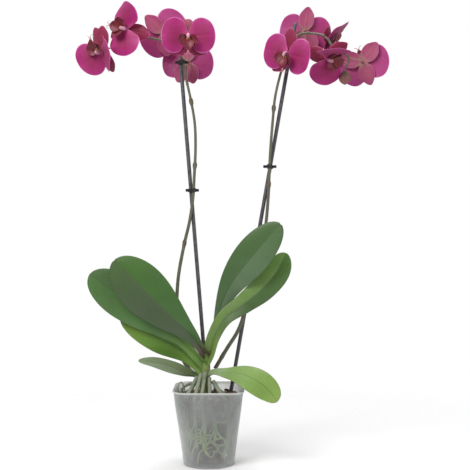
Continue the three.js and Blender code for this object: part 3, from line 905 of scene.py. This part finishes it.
# %% Finishes of crown and roots
crown_finish, tree, shader = new_material("crown_skin", Roughness=0.5)
place = object_place(tree)
tone = uneven(tree, place, 70.0)
flush = part_of(tree, uneven(tree, place, 38.0, 0.25), 0.35)
green = blend_colours(tree, tone, colour(128, 156, 74), colour(92, 124, 50))
feed(tree, shader, Base_Color=blend_colours(tree, flush, green, colour(132, 96, 92)))
add_bump(tree, shader, tone, 0.5)

root_finish, tree, shader = new_material("root_skin", Roughness=0.7)
place = object_place(tree)
height = height_of(tree, place)
dry = uneven(tree, place, 120.0)
pits = uneven(tree, place, 520.0)
in_air = blend_colours(tree, dry, colour(158, 164, 146), colour(116, 126, 98))
lower = blend_colours(tree, dry, colour(192, 208, 146), colour(150, 174, 104))
shaded = ramp_between(tree, height, 56 * MM, 100 * MM)
in_pot = blend_colours(tree, shaded, lower, colour(92, 98, 80))
wet = opposite(tree, ramp_between(tree, height, 105 * MM, 122 * MM))
skin = blend_colours(tree, wet, in_air, in_pot)
feed(tree, shader, Base_Color=blend_colours(tree, part_of(tree, pits, 0.25), skin, colour(84, 88, 66)))
add_bump(tree, shader, pits, 0.4)

# %% Grow the crown
CROWN_AXIS = [(-7, 2, 96), (-7, 1, 130), (-5, 0, 165), (-3, 0, 196)]
CROWN_RINGS = 5


def crown_radius(t):
    ring = abs(math.sin(t * math.pi * CROWN_RINGS)) ** 6
    return mix(10.5, 6.5, t) * (0.97 - 0.05 * ring) * (1 - 0.55 * smoothstep(0.93, 1.0, t))


crown = tube("leaf_crown", smooth_route(CROWN_AXIS, 60), crown_radius, crown_finish, sides=24)
stands_for(crown, "crown", "crown")

# %% Grow the roots
ROOT_STEPS = 60


def root_radius(radius, number):
    def at(t):
        swell = noise.noise(Vector((t * 9, number * 5.3, 0))) * 0.14
        tip = math.sqrt(max(1 - smoothstep(0.94, 1.0, t), 0.05))
        return radius * (mix(1, 0.75, t) + swell) * tip
    return at


BRANCHING_ROOTS = 5
BRANCHES = 4
BRANCH_RADIUS = 1.9
BRANCH_BENDS = 6
BRANCHES_BELOW = 78


def branch_radius(t):
    return BRANCH_RADIUS * mix(1, 0.5, t)


def branch_route(start, sideways):
    """A side root that wanders down and along the inside of the wall."""
    angle = math.atan2(start.y, start.x)
    z = start.z
    places = [start]
    for _ in range(BRANCH_BENDS):
        angle += sideways * random.uniform(0.02, 0.2)
        z = max(z + random.uniform(-13, 4), 7)
        radius = pot_radius(angle, z) - POT_WALL - BRANCH_RADIUS - random.uniform(0.6, 4)
        places.append(Vector((radius * math.cos(angle), radius * math.sin(angle), z)))
    return smooth_route(places, 30)


def with_branches(root, route):
    """Four thin side roots join a root that has reached the pot."""
    in_pot = [place for place in smooth_route(route, ROOT_STEPS) if place.z < BRANCHES_BELOW]
    parts = [root]
    for i in range(BRANCHES):
        start = in_pot[(i * len(in_pot)) // (BRANCHES + 1)]
        side_root = branch_route(start, 1 if i % 2 else -1)
        parts.append(tube("side_root", side_root, branch_radius, root_finish, 10))
    return join(root.name, parts)


for number, (radius, route) in enumerate(ROOTS, 1):
    fine_route = smooth_route(route, ROOT_STEPS)
    root = tube(f"aerial_root_{number}", fine_route, root_radius(radius, number), root_finish, 16)
    if number <= BRANCHING_ROOTS:
        root = with_branches(root, route)
    stands_for(root, "root", f"root_{number}")

# %% [markdown]
# ## Stakes and clips
# A stake is a straight coated rod with a rounded end. A clip is a small moulded band that
# holds stem and stake side by side, with two ears to squeeze. The rod is a cylinder with its rims beveled.
# The band is made of a few solids that are fused by a fine remesh, which also rounds every inner corner.

# %% Finishes of stakes and clips
stake_finish = two_tone_finish(
    "stake_coating", 0.34, 160.0, [(66, 62, 68), (96, 92, 96)], 0.15, rough_share=0.2
)
clip_finish = two_tone_finish("clip_plastic", 0.38, 300.0, [(24, 24, 27), (40, 40, 44)], 0.1)

# %% Model the stakes
STAKE_RADIUS = 3.3
STAKES = {"left": ((5, 23, 12), (-49, 10, 684)), "right": ((19, 34, 12), (147, 18, 747))}

for side, (foot, top) in STAKES.items():
    foot, top = Vector(foot), Vector(top)
    select_only()
    bpy.ops.mesh.primitive_cylinder_add(
        vertices=24, radius=STAKE_RADIUS * MM, depth=(top - foot).length * MM,
        location=(foot + top) / 2 * MM, rotation=(top - foot).to_track_quat("Z", "Y").to_euler(),
    )
    stake = bpy.context.active_object
    stake.name = f"support_stake_{side}"
    apply_modifier(stake, "BEVEL", width=1.2 * MM, segments=4, limit_method="ANGLE")
    stake.data.materials.append(stake_finish)
    stands_for(stake, "stake", f"stake_{side}")

# %% Model the clips
CLIP_WALL = 1.6
CLIP_HEIGHT = 6
CLIP_FINE = 0.35
CLIP_GAP = 0.4
CLIP_BRIDGE = (2.4, 1.8, CLIP_HEIGHT)
CLIP_EAR = (6.4, 2.2, CLIP_HEIGHT * 0.8)
EAR_REACH = 8.2
EAR_DROOP = math.radians(8)


def at_height(low, high, z):
    low, high = Vector(low), Vector(high)
    return low.lerp(high, (z - low.z) / (high.z - low.z))


def block(size, place, turn=0.0):
    select_only()
    bpy.ops.mesh.primitive_cube_add(
        size=1, location=place * MM, rotation=(0, 0, turn), scale=Vector(size) * MM
    )
    apply_modifier(bpy.context.active_object, "BEVEL", width=0.6 * MM, segments=2)
    return bpy.context.active_object


def collar(place, inner):
    """A ring round a stem: a cylinder whose middle is taken out by insetting both ends and bridging them."""
    select_only()
    bpy.ops.mesh.primitive_cylinder_add(
        vertices=32, radius=(inner + CLIP_WALL) * MM, depth=CLIP_HEIGHT * MM, location=place * MM,
        end_fill_type="NGON",
    )
    ring = bpy.context.active_object
    bpy.ops.object.mode_set(mode="EDIT")
    bpy.ops.mesh.select_mode(type="FACE")
    bpy.ops.mesh.select_all(action="DESELECT")
    bpy.ops.object.mode_set(mode="OBJECT")
    for face in ring.data.polygons:
        face.select = abs(face.normal.z) > 0.9
    bpy.ops.object.mode_set(mode="EDIT")
    bpy.ops.mesh.inset(thickness=CLIP_WALL * MM)
    bpy.ops.mesh.bridge_edge_loops()
    bpy.ops.object.mode_set(mode="OBJECT")
    return ring


def model_clip(name, z, stake_side, stem_place, stem_radius):
    stake_place = at_height(*STAKES[stake_side], z)
    middle = (stake_place + stem_place) / 2
    parts = [collar(stake_place, STAKE_RADIUS + CLIP_GAP), collar(stem_place, stem_radius + CLIP_GAP)]
    away = (stem_place - stake_place).normalized()
    turn = math.atan2(away.y, away.x)
    parts.append(block(CLIP_BRIDGE, middle + away.cross(Vector((0, 0, 1))) * 3.2, turn))
    for outwards in (-1, 1):
        ear = Vector((outwards * EAR_REACH, 0, 0))
        parts.append(block(CLIP_EAR, middle + ear, -EAR_DROOP * outwards))
    clip = join(name, parts)
    settle(clip)
    apply_modifier(clip, "REMESH", mode="VOXEL", voxel_size=CLIP_FINE * MM, use_smooth_shade=True)
    apply_modifier(clip, "SMOOTH", factor=0.5, iterations=3)
    clip.data.materials.clear()
    clip.data.materials.append(clip_finish)
    return clip

# %% [markdown]
# ## Flower stems
# Each stem leaves the crown, climbs past its stake and arches over. Every few centimetres it has a node, a
# slight swelling wrapped by a small dry bract, and near its end each flower hangs on its own short stalk.
# The stem and its stalks grew as one, so they are joined into one piece.

# %% Stem finishes
stem_finish, tree, shader = new_material("stem_skin", Roughness=0.48)
place = object_place(tree)
streak = uneven(tree, stretched(tree, place, 0.15), 420.0)
flush = part_of(tree, uneven(tree, place, 26.0, 0.4), 0.5)
green = blend_colours(tree, streak, colour(112, 114, 92), colour(88, 92, 70))
feed(tree, shader, Base_Color=blend_colours(tree, flush, green, colour(98, 84, 80)))
add_bump(tree, shader, streak, 0.25)

stalk_finish = two_tone_finish("stalk_skin", 0.5, 55.0, [(158, 140, 104), (168, 108, 124)], 0.2, 0.6)
bract_finish = two_tone_finish("bract_skin", 0.6, 240.0, [(118, 104, 78), (84, 66, 56)], 0.2, 0.6)

# %% Where the flowers are and how they stand
# yaw 0 looks to the front, pitch is upwards, roll turns the top sepal anticlockwise seen from its front
FLOWERS = {
    "left_1": dict(
        at=(-33, -38, 712), yaw=3, pitch=-4, roll=0, dorsal=-38, spread=50, broad=1.3,
        petal_angle=85, petals=(4, 4),
    ),
    "left_2": dict(at=(-80, 34, 734), yaw=172, pitch=5, roll=-45),
    "left_3": dict(at=(-38, 40, 684), yaw=178, pitch=-10, roll=4, spread=20),
    "left_4": dict(
        at=(-138, -22, 728), yaw=-28, pitch=-4, roll=-108, dorsal=-14, lateral=-12, spread=28,
        petal_turn=12, petals=(6, 8), twists=(34, 0),
    ),
    "left_5": dict(
        at=(-182, -8, 695), yaw=-34, pitch=-30, roll=-176, dorsal=-8, lateral=-24, spread=14,
        petal_angle=66, petals=(38, 40),
    ),
    "right_1": dict(at=(131, -34, 684), yaw=-36, pitch=-6, roll=-10, spread=46, petal_turn=-8, petals=(8, 2)),
    "right_2": dict(at=(165, 34, 736), yaw=172, pitch=0, roll=8, petals=(12, 6)),
    "right_3": dict(at=(211, 30, 719), yaw=60, pitch=-14, roll=-66, lateral=8, spread=44, petals=(40, 26)),
    "right_4": dict(at=(198, -32, 677), yaw=22, pitch=-32, roll=92, dorsal=-50, spread=40, petals=(10, 54)),
    "right_5": dict(at=(263, 22, 681), yaw=165, pitch=0, roll=160, spread=58, petal_angle=74, petals=(4, 4)),
}
FLOWER_DEFAULTS = dict(
    dorsal=0, lateral=0, spread=33, broad=1.0, petal_angle=90, petal_turn=0, petals=(6, 6), twists=(0, 0)
)


def flower_turn(flower):
    """The matrix from a flower's own space, in millimetres, to the plant's."""
    yaw = math.radians(flower["yaw"])
    pitch = math.radians(flower["pitch"])
    facing = Vector((math.sin(yaw) * math.cos(pitch), -math.cos(yaw) * math.cos(pitch), math.sin(pitch)))
    up = (Vector((0, 0, 1)) - facing * facing.z).normalized()
    up.rotate(Matrix.Rotation(math.radians(flower["roll"]), 3, facing))
    right = up.cross(facing)
    turn = Matrix((right, up, facing)).transposed().to_4x4()
    turn.translation = Vector(flower["at"])
    return turn


def place_in_plant(piece, turn):
    """The turn is in millimetres and the piece already in metres."""
    shift = turn.copy()
    shift.translation = turn.translation * MM
    piece.data.transform(shift)


# %% Where the stems go
STEM_BASE_RADIUS = 3.4
STEM_TIP_RADIUS = 1.6
STEM_STEPS = 34
STALK_HOOK = 9
SEPAL_BACK = -3.4

STEMS = {
    "left": dict(
        route=[
            (-21, 8, 146), (-34, 12, 157), (-46, 18, 174), (-55, 24, 206), (-57, 27, 243), (-56, 27, 277),
            (-53, 24, 315), (-43, 17, 368), (-33, 11, 410), (-27, 8, 452), (-25, 6, 487), (-23, 5, 529),
            (-24, 4, 572), (-30, 3, 610), (-37, 3, 642), (-44, 3, 676), (-54, 0, 698), (-67, -2, 709),
            (-84, -3, 714), (-100, -3, 717), (-117, -3, 719), (-134, 9, 717), (-150, 24, 711),
            (-161, 24, 705),
        ],
        stalks=dict(left_1=0.82, left_2=0.86, left_3=0.74, left_4=0.95, left_5=0.99),
        nodes=(262, 368, 498, 606),
    ),
    "right": dict(
        route=[
            (10, 8, 158), (30, 14, 191), (49, 20, 221), (64, 21.5, 262), (79, 25, 313), (90, 24, 359),
            (97, 20, 405), (101, 18, 453), (103, 16, 502), (105, 13, 538), (108, 11, 577), (112, 9, 618),
            (120, 8, 654), (131, 8, 688), (139, 6, 708), (149, 3, 722), (162, 0, 726), (176, -2, 725),
            (190, -12, 720), (199, -20, 711), (206, -23, 700), (218, -16, 693), (229, -11, 689),
            (235, -9, 682), (233, -8.5, 672), (229.6, -8, 663.2),
        ],
        stalks=dict(right_1=0.78, right_2=0.83, right_3=0.87, right_4=0.93, right_5=0.965),
        nodes=(178, 244, 348, 468, 596),
    ),
}

# %% Grow the stems
STEM_FINE = 408
NODE_SWELL = 0.55
NODE_LENGTH = 0.0035
BRACT_THICK = 0.45
NODE_BRACT = 13
STALK_BRACT = 6


def stem_radius(places):
    def at(t):
        swell = sum(math.exp(-(((t - place) / NODE_LENGTH) ** 2)) for place in places)
        return mix(STEM_BASE_RADIUS, STEM_TIP_RADIUS, t) + NODE_SWELL * swell
    return at


def bract(route, k, radius, length, facing):
    """A small sheath that starts on the node and hugs the stem, narrowing to a point."""
    tangent = (route[k + 1] - route[k]).normalized()
    side = tangent.cross(Vector((0, facing, 0.2))).normalized()
    out = side.cross(tangent)
    sheet = blank_sheet("bract", 10, 8)

    def rule(across, along):
        angle = across * 1.9 * math.sqrt(max(1 - along, 0.01))
        lift = radius + 0.35 + along * 0.9
        round_stem = (out * math.cos(angle) + side * math.sin(angle)) * lift
        return route[k] + tangent * (along * length * (1 - 0.15 * across * across)) + round_stem

    shape_sheet(sheet, rule)
    sheet.data.materials.append(bract_finish)
    flesh(sheet, BRACT_THICK, 0.5)
    return sheet


def step_at_height(route, z):
    """The step of the climbing part of a stem that is nearest to a height."""
    climbing = range(len(route) // 2 + 80)
    return min(climbing, key=lambda k: abs(route[k].z - z))


def step_at_share(t):
    """The stalks leave at the same steps as on the working model."""
    return round(round(t * STEM_STEPS) / STEM_STEPS * STEM_FINE)


def stalk_radius(t):
    return mix(1.15, 1.75, t * t)


for side, stem in STEMS.items():
    route = smooth_route(stem["route"], STEM_FINE)
    joints = [step_at_height(route, z) for z in stem["nodes"]]
    roots = {name: step_at_share(t) for name, t in stem["stalks"].items()}
    radius_at = stem_radius([k / STEM_FINE for k in [*joints, *roots.values()]])
    parts = [tube("stem", route, radius_at, stem_finish, 16)]
    for i, k in enumerate(joints):
        parts.append(bract(route, k, radius_at(0) * 0.9, NODE_BRACT, -1 if i % 2 else 1))
    for name, k in roots.items():
        turn = flower_turn(FLOWERS[name])
        tip = turn @ Vector((0, 0, SEPAL_BACK))
        behind = turn @ Vector((0, 0, SEPAL_BACK - STALK_HOOK))
        stalk = smooth_route([route[k], route[k].lerp(behind, 0.5), behind, tip], 24)
        parts.append(tube("stalk", stalk, stalk_radius, stalk_finish, 12))
        if k < STEM_FINE:
            parts.append(bract(route, k, 1.5, STALK_BRACT, -1))
    whole = join(f"flower_stem_{side}", parts)
    stands_for(whole, "spike", f"spike_{side}")

CLIPS = {"left_low": ("left", 461), "left_top": ("left", 678), "right": ("right", 501.5)}
for name, (side, z) in CLIPS.items():
    route = smooth_route(STEMS[side]["route"], STEM_FINE)
    beside = next(place for place in route if place.z >= z)
    clip = model_clip(f"stake_clip_{name}", z, side, beside, STEM_BASE_RADIUS * 0.8)
    stands_for(clip, "clip", f"clip_{name}")

# %% [markdown]
# ## Petals and sepals
# A moth orchid flower has three sepals behind and two broad petals in front. A petal's rim is one smooth
# line, so its grid is first rounded to a disc, and the disc is then stretched to the petal's outline,
# cupped, and waved a little at its rim. Front and back are different colours, and Solidify gives the back
# a material of its own.

# %% Petal and sepal finishes
def tepal_finish(name, heart, body, rim_tone, vein_tone, vein_share, foot):
    material, tree, shader = new_material(name, Roughness=0.5, Sheen_Weight=0.12, Sheen_Roughness=0.4)
    uv = add_node(tree, "ShaderNodeUVMap", uv_map="UVMap").outputs[0]
    along = add_node(tree, "ShaderNodeSeparateXYZ", {0: uv}).outputs["Y"]
    rim = add_node(tree, "ShaderNodeAttribute", attribute_name="rim").outputs["Fac"]
    tone = uneven(tree, object_place(tree), 70.0)
    lines = vein_lines(tree, uv, 26.0, 0.05, 0.4)
    inner = part_of(tree, opposite(tree, ramp_between(tree, rim, 0.15, 0.9)), 0.75)
    surface = colour(*body)
    for mask, share, tint in (
        (calculate(tree, "MULTIPLY_ADD", tone, 0.25, inner), 1.0, heart),
        (lines, vein_share, vein_tone),
        (opposite(tree, ramp_between(tree, along, 0.05, 0.3)), 0.6, foot),
        (ramp_between(tree, rim, 0.9, 1.0), 0.8, rim_tone),
    ):
        surface = blend_colours(tree, part_of(tree, mask, share), surface, colour(*tint))
    feed(tree, shader, Base_Color=surface, Roughness=calculate(tree, "MULTIPLY_ADD", tone, 0.12, 0.44))
    add_bump(tree, shader, lines, 0.35, 0.6)
    return material


petal_front = tepal_finish(
    "petal_front", (152, 12, 84), (178, 26, 120), (222, 116, 186), (132, 8, 74), 0.35, (184, 60, 116)
)
petal_back = tepal_finish(
    "petal_back", (172, 54, 116), (180, 50, 130), (206, 112, 172), (134, 40, 84), 0.6, (168, 112, 112)
)
sepal_front = tepal_finish(
    "sepal_front", (136, 12, 58), (150, 20, 76), (206, 104, 150), (104, 8, 42), 0.5, (122, 30, 60)
)
sepal_back = tepal_finish(
    "sepal_back", (172, 76, 108), (170, 60, 114), (190, 110, 136), (120, 52, 64), 0.6, (156, 132, 104)
)

# %% Shape a petal or sepal
HUB = 4
GROOVE_DEPTH = 0.6
PETAL = dict(reach=45, width=59, z=1.6, thick=0.9)
DORSAL = dict(reach=43, width=27, z=-2.0, thick=1.0)
LATERAL = dict(reach=41, width=29, z=-2.0, thick=1.0)


def petal_outline(q):
    return 1 - 0.3 * smoothstep(0.45, 1.0, -q)


def sepal_outline(q):
    return (1 - 0.32 * smoothstep(0.25, 1.0, q)) * (1 - 0.2 * smoothstep(0.4, 1.0, -q))


def tepal_rule(angle, lean, twist, size, outline, cup, wave, phase):
    a = math.radians(angle)
    tilt = math.radians(lean)
    out = Vector((-math.sin(a), math.cos(a), 0))
    side = Vector((math.cos(a), math.sin(a), 0))
    front = Vector((0, 0, 1))

    def rule(x, along):
        y = along * 2 - 1
        p = x * math.sqrt(1 - y * y / 2)
        q = y * math.sqrt(1 - x * x / 2)
        distance = size["reach"] * (0.5 + 0.5 * q)
        flat = min(distance, HUB)
        rest = max(distance - HUB, 0)
        centre = out * (flat + math.cos(tilt) * rest) + front * (size["z"] + math.sin(tilt) * rest)
        turned = math.radians(twist) * distance / size["reach"]
        across = side * math.cos(turned) + front * math.sin(turned)
        reach = min(math.hypot(p, q), 1.0)
        around = math.atan2(q, p)
        bowl = cup * (p * p + 0.5 * max(q, 0.0) ** 2) * size["width"] / 2
        ripple = wave * math.sin(3 * around + phase) * reach**3
        ripple += wave * 0.4 * math.sin(7 * around + phase * 2) * reach**6
        groove = -GROOVE_DEPTH * math.exp(-((p / 0.05) ** 2)) * (1 - max(q, 0.0))
        half = size["width"] / 2 * outline(q)
        up = front * math.cos(tilt) - out * math.sin(tilt)
        return centre + across * (p * half) + up * (bowl + ripple + groove)

    return rule


def grow_tepal(name, columns, rows, finishes, size, **bend):
    sheet = blank_sheet(name, columns, rows)
    shape_sheet(sheet, tepal_rule(size=size, **bend))
    for finish in finishes:
        sheet.data.materials.append(finish)
    flesh(sheet, size["thick"], 0.55, back_material=1)
    return sheet


# %% Grow one flower's petals and sepals
HUB_FLATNESS = 0.45
HUB_DEPTH = 2.2


def grow_petals(name, flower, phase):
    parts = []
    for i, turn in enumerate((1, -1)):
        angle = flower["petal_turn"] + turn * flower["petal_angle"]
        parts.append(
            grow_tepal(
                "petal", 22, 22, (petal_front, petal_back), PETAL, angle=angle, lean=flower["petals"][i],
                twist=flower["twists"][i], outline=petal_outline, cup=-0.10, wave=1.3, phase=phase + i * 2.1,
            )
        )
    return join(f"petals_{name}", parts)


def grow_sepals(name, flower, phase):
    around = 180 - flower["spread"]
    lower = {**LATERAL, "width": LATERAL["width"] * flower["broad"]}
    lateral = flower["lateral"]
    three = [(0, flower["dorsal"], DORSAL), (around, lateral, lower), (-around, lateral, lower)]
    parts = []
    for i, (angle, lean, size) in enumerate(three):
        parts.append(
            grow_tepal(
                "sepal", 14, 20, (sepal_front, sepal_back), size, angle=angle, lean=lean, twist=0,
                outline=sepal_outline, cup=-0.16, wave=0.6, phase=phase + i * 1.7,
            )
        )
    select_only()
    bpy.ops.mesh.primitive_uv_sphere_add(segments=20, ring_count=12, radius=HUB * MM)
    hub = bpy.context.active_object
    for vertex in hub.data.vertices:
        vertex.co.z = vertex.co.z * HUB_FLATNESS - HUB_DEPTH * MM
    hub.data.materials.append(sepal_back)
    return join(f"sepals_{name}", [*parts, hub])


# %% [markdown]
# ## The lip
# The lip is the flower's landing stage. Two side lobes stand up like wings, a trowel-shaped middle lobe
# points down and ends in two tendrils, and a pale column arches over them. It is the same in every flower
# of the plant, so it is modelled once and copied into each.

# %% Lip finishes
def lip_skin(name, deep, bright, foot, stripe_share):
    material, tree, shader = new_material(name, Roughness=0.42, Sheen_Weight=0.1)
    uv = add_node(tree, "ShaderNodeUVMap", uv_map="UVMap").outputs[0]
    along = add_node(tree, "ShaderNodeSeparateXYZ", {0: uv}).outputs["Y"]
    tone = uneven(tree, object_place(tree), 210.0)
    stripes = vein_lines(tree, uv, 9.0, 0.06, 0.5)
    near_foot = opposite(tree, ramp_between(tree, along, 0.15, 0.7))
    striped = part_of(tree, part_of(tree, stripes, near_foot), stripe_share)
    surface = blend_colours(tree, tone, colour(*deep), colour(*bright))
    feed(tree, shader, Base_Color=blend_colours(tree, striped, surface, colour(*foot)))
    add_bump(tree, shader, stripes, 0.25)
    return material


lip_wine = lip_skin("lip_wine", (98, 12, 36), (134, 22, 56), (170, 92, 62), 0.9)
lip_tip = lip_skin("lip_tip", (190, 120, 140), (216, 160, 170), (150, 60, 80), 0.3)
column_skin = lip_skin("column_skin", (226, 178, 196), (206, 128, 166), (168, 70, 110), 0.4)
crest_skin = lip_skin("crest_skin", (206, 150, 90), (176, 92, 60), (120, 40, 40), 0.6)

# %% Model the lip
LOBE_SPINE = [(2, -3, 4), (6.5, -5.5, 7.5), (12, -8, 10.5), (16.5, -9.5, 14)]
TONGUE_SPINE = [(0, -4, 5.4), (0, -11, 9.6), (0, -19, 12), (0, -27, 11)]
TENDRIL_SPINE = [(0.9, -26, 11.2), (2.6, -29.5, 12.2), (5.6, -30.6, 10), (6.6, -28, 7.2)]
COLUMN_SPINE = [(0, 0, 1.0), (0, 1.2, 6), (0, 0.2, 9.6), (0, -1.6, 12.2)]
LIP_THICK = 0.9


LIP_ROWS = 16
LIP_COLUMNS = 12


def lip_blade(spine, side, half_at, gutter):
    sheet = blank_sheet("blade", LIP_COLUMNS, LIP_ROWS)
    frames = spine_frames(spine, (side, side), LIP_ROWS)

    def rule(across, along):
        centre, over, up = frames[round(along * LIP_ROWS)]
        half = half_at(along)
        return centre + over * (across * half) + up * (gutter * half * across * across)

    shape_sheet(sheet, rule)
    sheet.data.materials.append(lip_wine)
    flesh(sheet, LIP_THICK, 0.6)
    return sheet


def mirrored(spine, turn):
    return [(turn * x, y, z) for x, y, z in spine]


def lobe_half(t):
    return 10 * math.sqrt(max(1 - ((t - 0.5) / 0.52) ** 2, 0.02))


def tongue_half(t):
    return mix(3.2, 9.6, smoothstep(0.0, 0.5, t)) * (1 - 0.86 * smoothstep(0.5, 1.0, t))


def tendril_radius(t):
    return mix(0.65, 0.2, t)


def column_radius(t):
    return 2.3 + 0.9 * math.sin(t * 2.6)


def bead(size, place, finish):
    select_only()
    bpy.ops.mesh.primitive_uv_sphere_add(segments=16, ring_count=10, radius=MM)
    ball = bpy.context.active_object
    for vertex in ball.data.vertices:
        vertex.co = vertex.co * Vector(size) + point(*place)
    ball.data.materials.append(finish)
    return ball


lip_parts = [lip_blade(TONGUE_SPINE, (1, 0, 0), tongue_half, 0.45)]
for turn in (-1, 1):
    lip_parts.append(lip_blade(mirrored(LOBE_SPINE, turn), (0.1 * turn, turn, 0.25), lobe_half, 0.35))
    tendril = smooth_route(mirrored(TENDRIL_SPINE, turn), 16)
    lip_parts.append(tube("tendril", tendril, tendril_radius, lip_tip, 8))
    lip_parts.append(bead((1.6, 2.4, 1.6), (turn * 1.5, -4.6, 8.2), crest_skin))
lip_parts.append(tube("column", smooth_route(COLUMN_SPINE, 20), column_radius, column_skin, 16))
lip_parts.append(bead((2.5, 2.2, 1.9), (0, -2.0, 12.4), column_skin))
lip_parts.append(bead((1.6, 2, 1.1), (0, -25.2, 11.9), lip_tip))
lip_pattern = join("lip_pattern", lip_parts)
settle(lip_pattern)

# %% Grow all the flowers
for number, (name, pose) in enumerate(FLOWERS.items()):
    flower = {**FLOWER_DEFAULTS, **pose}
    turn = flower_turn(flower)
    phase = number * 1.3
    petals = grow_petals(name, flower, phase)
    sepals = grow_sepals(name, flower, phase)
    lip = copy_of(lip_pattern, Vector((0, 0, 0)), Euler((0, 0, 0)))
    lip.name = f"lip_{name}"
    for piece, slot, node in ((petals, "petal", "petals"), (sepals, "sepal", "sepals"), (lip, "lip", "lip")):
        place_in_plant(piece, turn)
        stands_for(piece, slot, f"flower_{name}_{node}")
bpy.data.objects.remove(lip_pattern)

# %% [markdown]
# ## The bud
# The last bud is still closed: three sepals meet along shallow seams, and it hangs from the stem's end.
# A ball is drawn out to a blunt egg, and the seams are pressed into it.

# %% Grow the bud
bud_finish, tree, shader = new_material("bud_skin", Roughness=0.5)
place = object_place(tree)
tone = uneven(tree, place, 120.0)
upper = ramp_between(tree, height_of(tree, place), 640 * MM, 661 * MM)
body = blend_colours(tree, upper, colour(158, 92, 96), colour(106, 104, 74))
feed(tree, shader, Base_Color=blend_colours(tree, part_of(tree, tone, 0.5), body, colour(120, 64, 68)))
add_bump(tree, shader, tone, 0.3)

BUD_PLACE = point(228.8, -8, 650)
BUD_RADIUS = 10.5
BUD_LENGTH = 25
SEAM_DEPTH = 0.07

select_only()
bpy.ops.mesh.primitive_uv_sphere_add(segments=36, ring_count=24, radius=1)
bud = bpy.context.active_object
for vertex in bud.data.vertices:
    t = (vertex.co.z + 1) / 2
    around = math.atan2(vertex.co.y, vertex.co.x)
    seam = 1 - SEAM_DEPTH * abs(math.cos(1.5 * around)) ** 14
    radius = BUD_RADIUS * math.sin(math.pi * min(t, 1.0) ** 0.85) ** 0.8 * seam
    swirl = around + t * 0.5
    vertex.co = BUD_PLACE + on_outline(swirl, radius, (t - 0.5) * BUD_LENGTH)
subdivide_smoothly(bud)
bud.name = "closed_bud"
bud.data.materials.append(bud_finish)
stands_for(bud, "bud", "bud")

# %% [markdown]
# The fine pieces have to fill the same space as the working model, apart from a little that living
# tissue may stand proud. The size of the box round the fine pieces is printed at the end.

# %% Print the size of the fine pieces' box
low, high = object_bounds()
print("width, depth and height in mm:", [round(side / MM) for side in high - low])
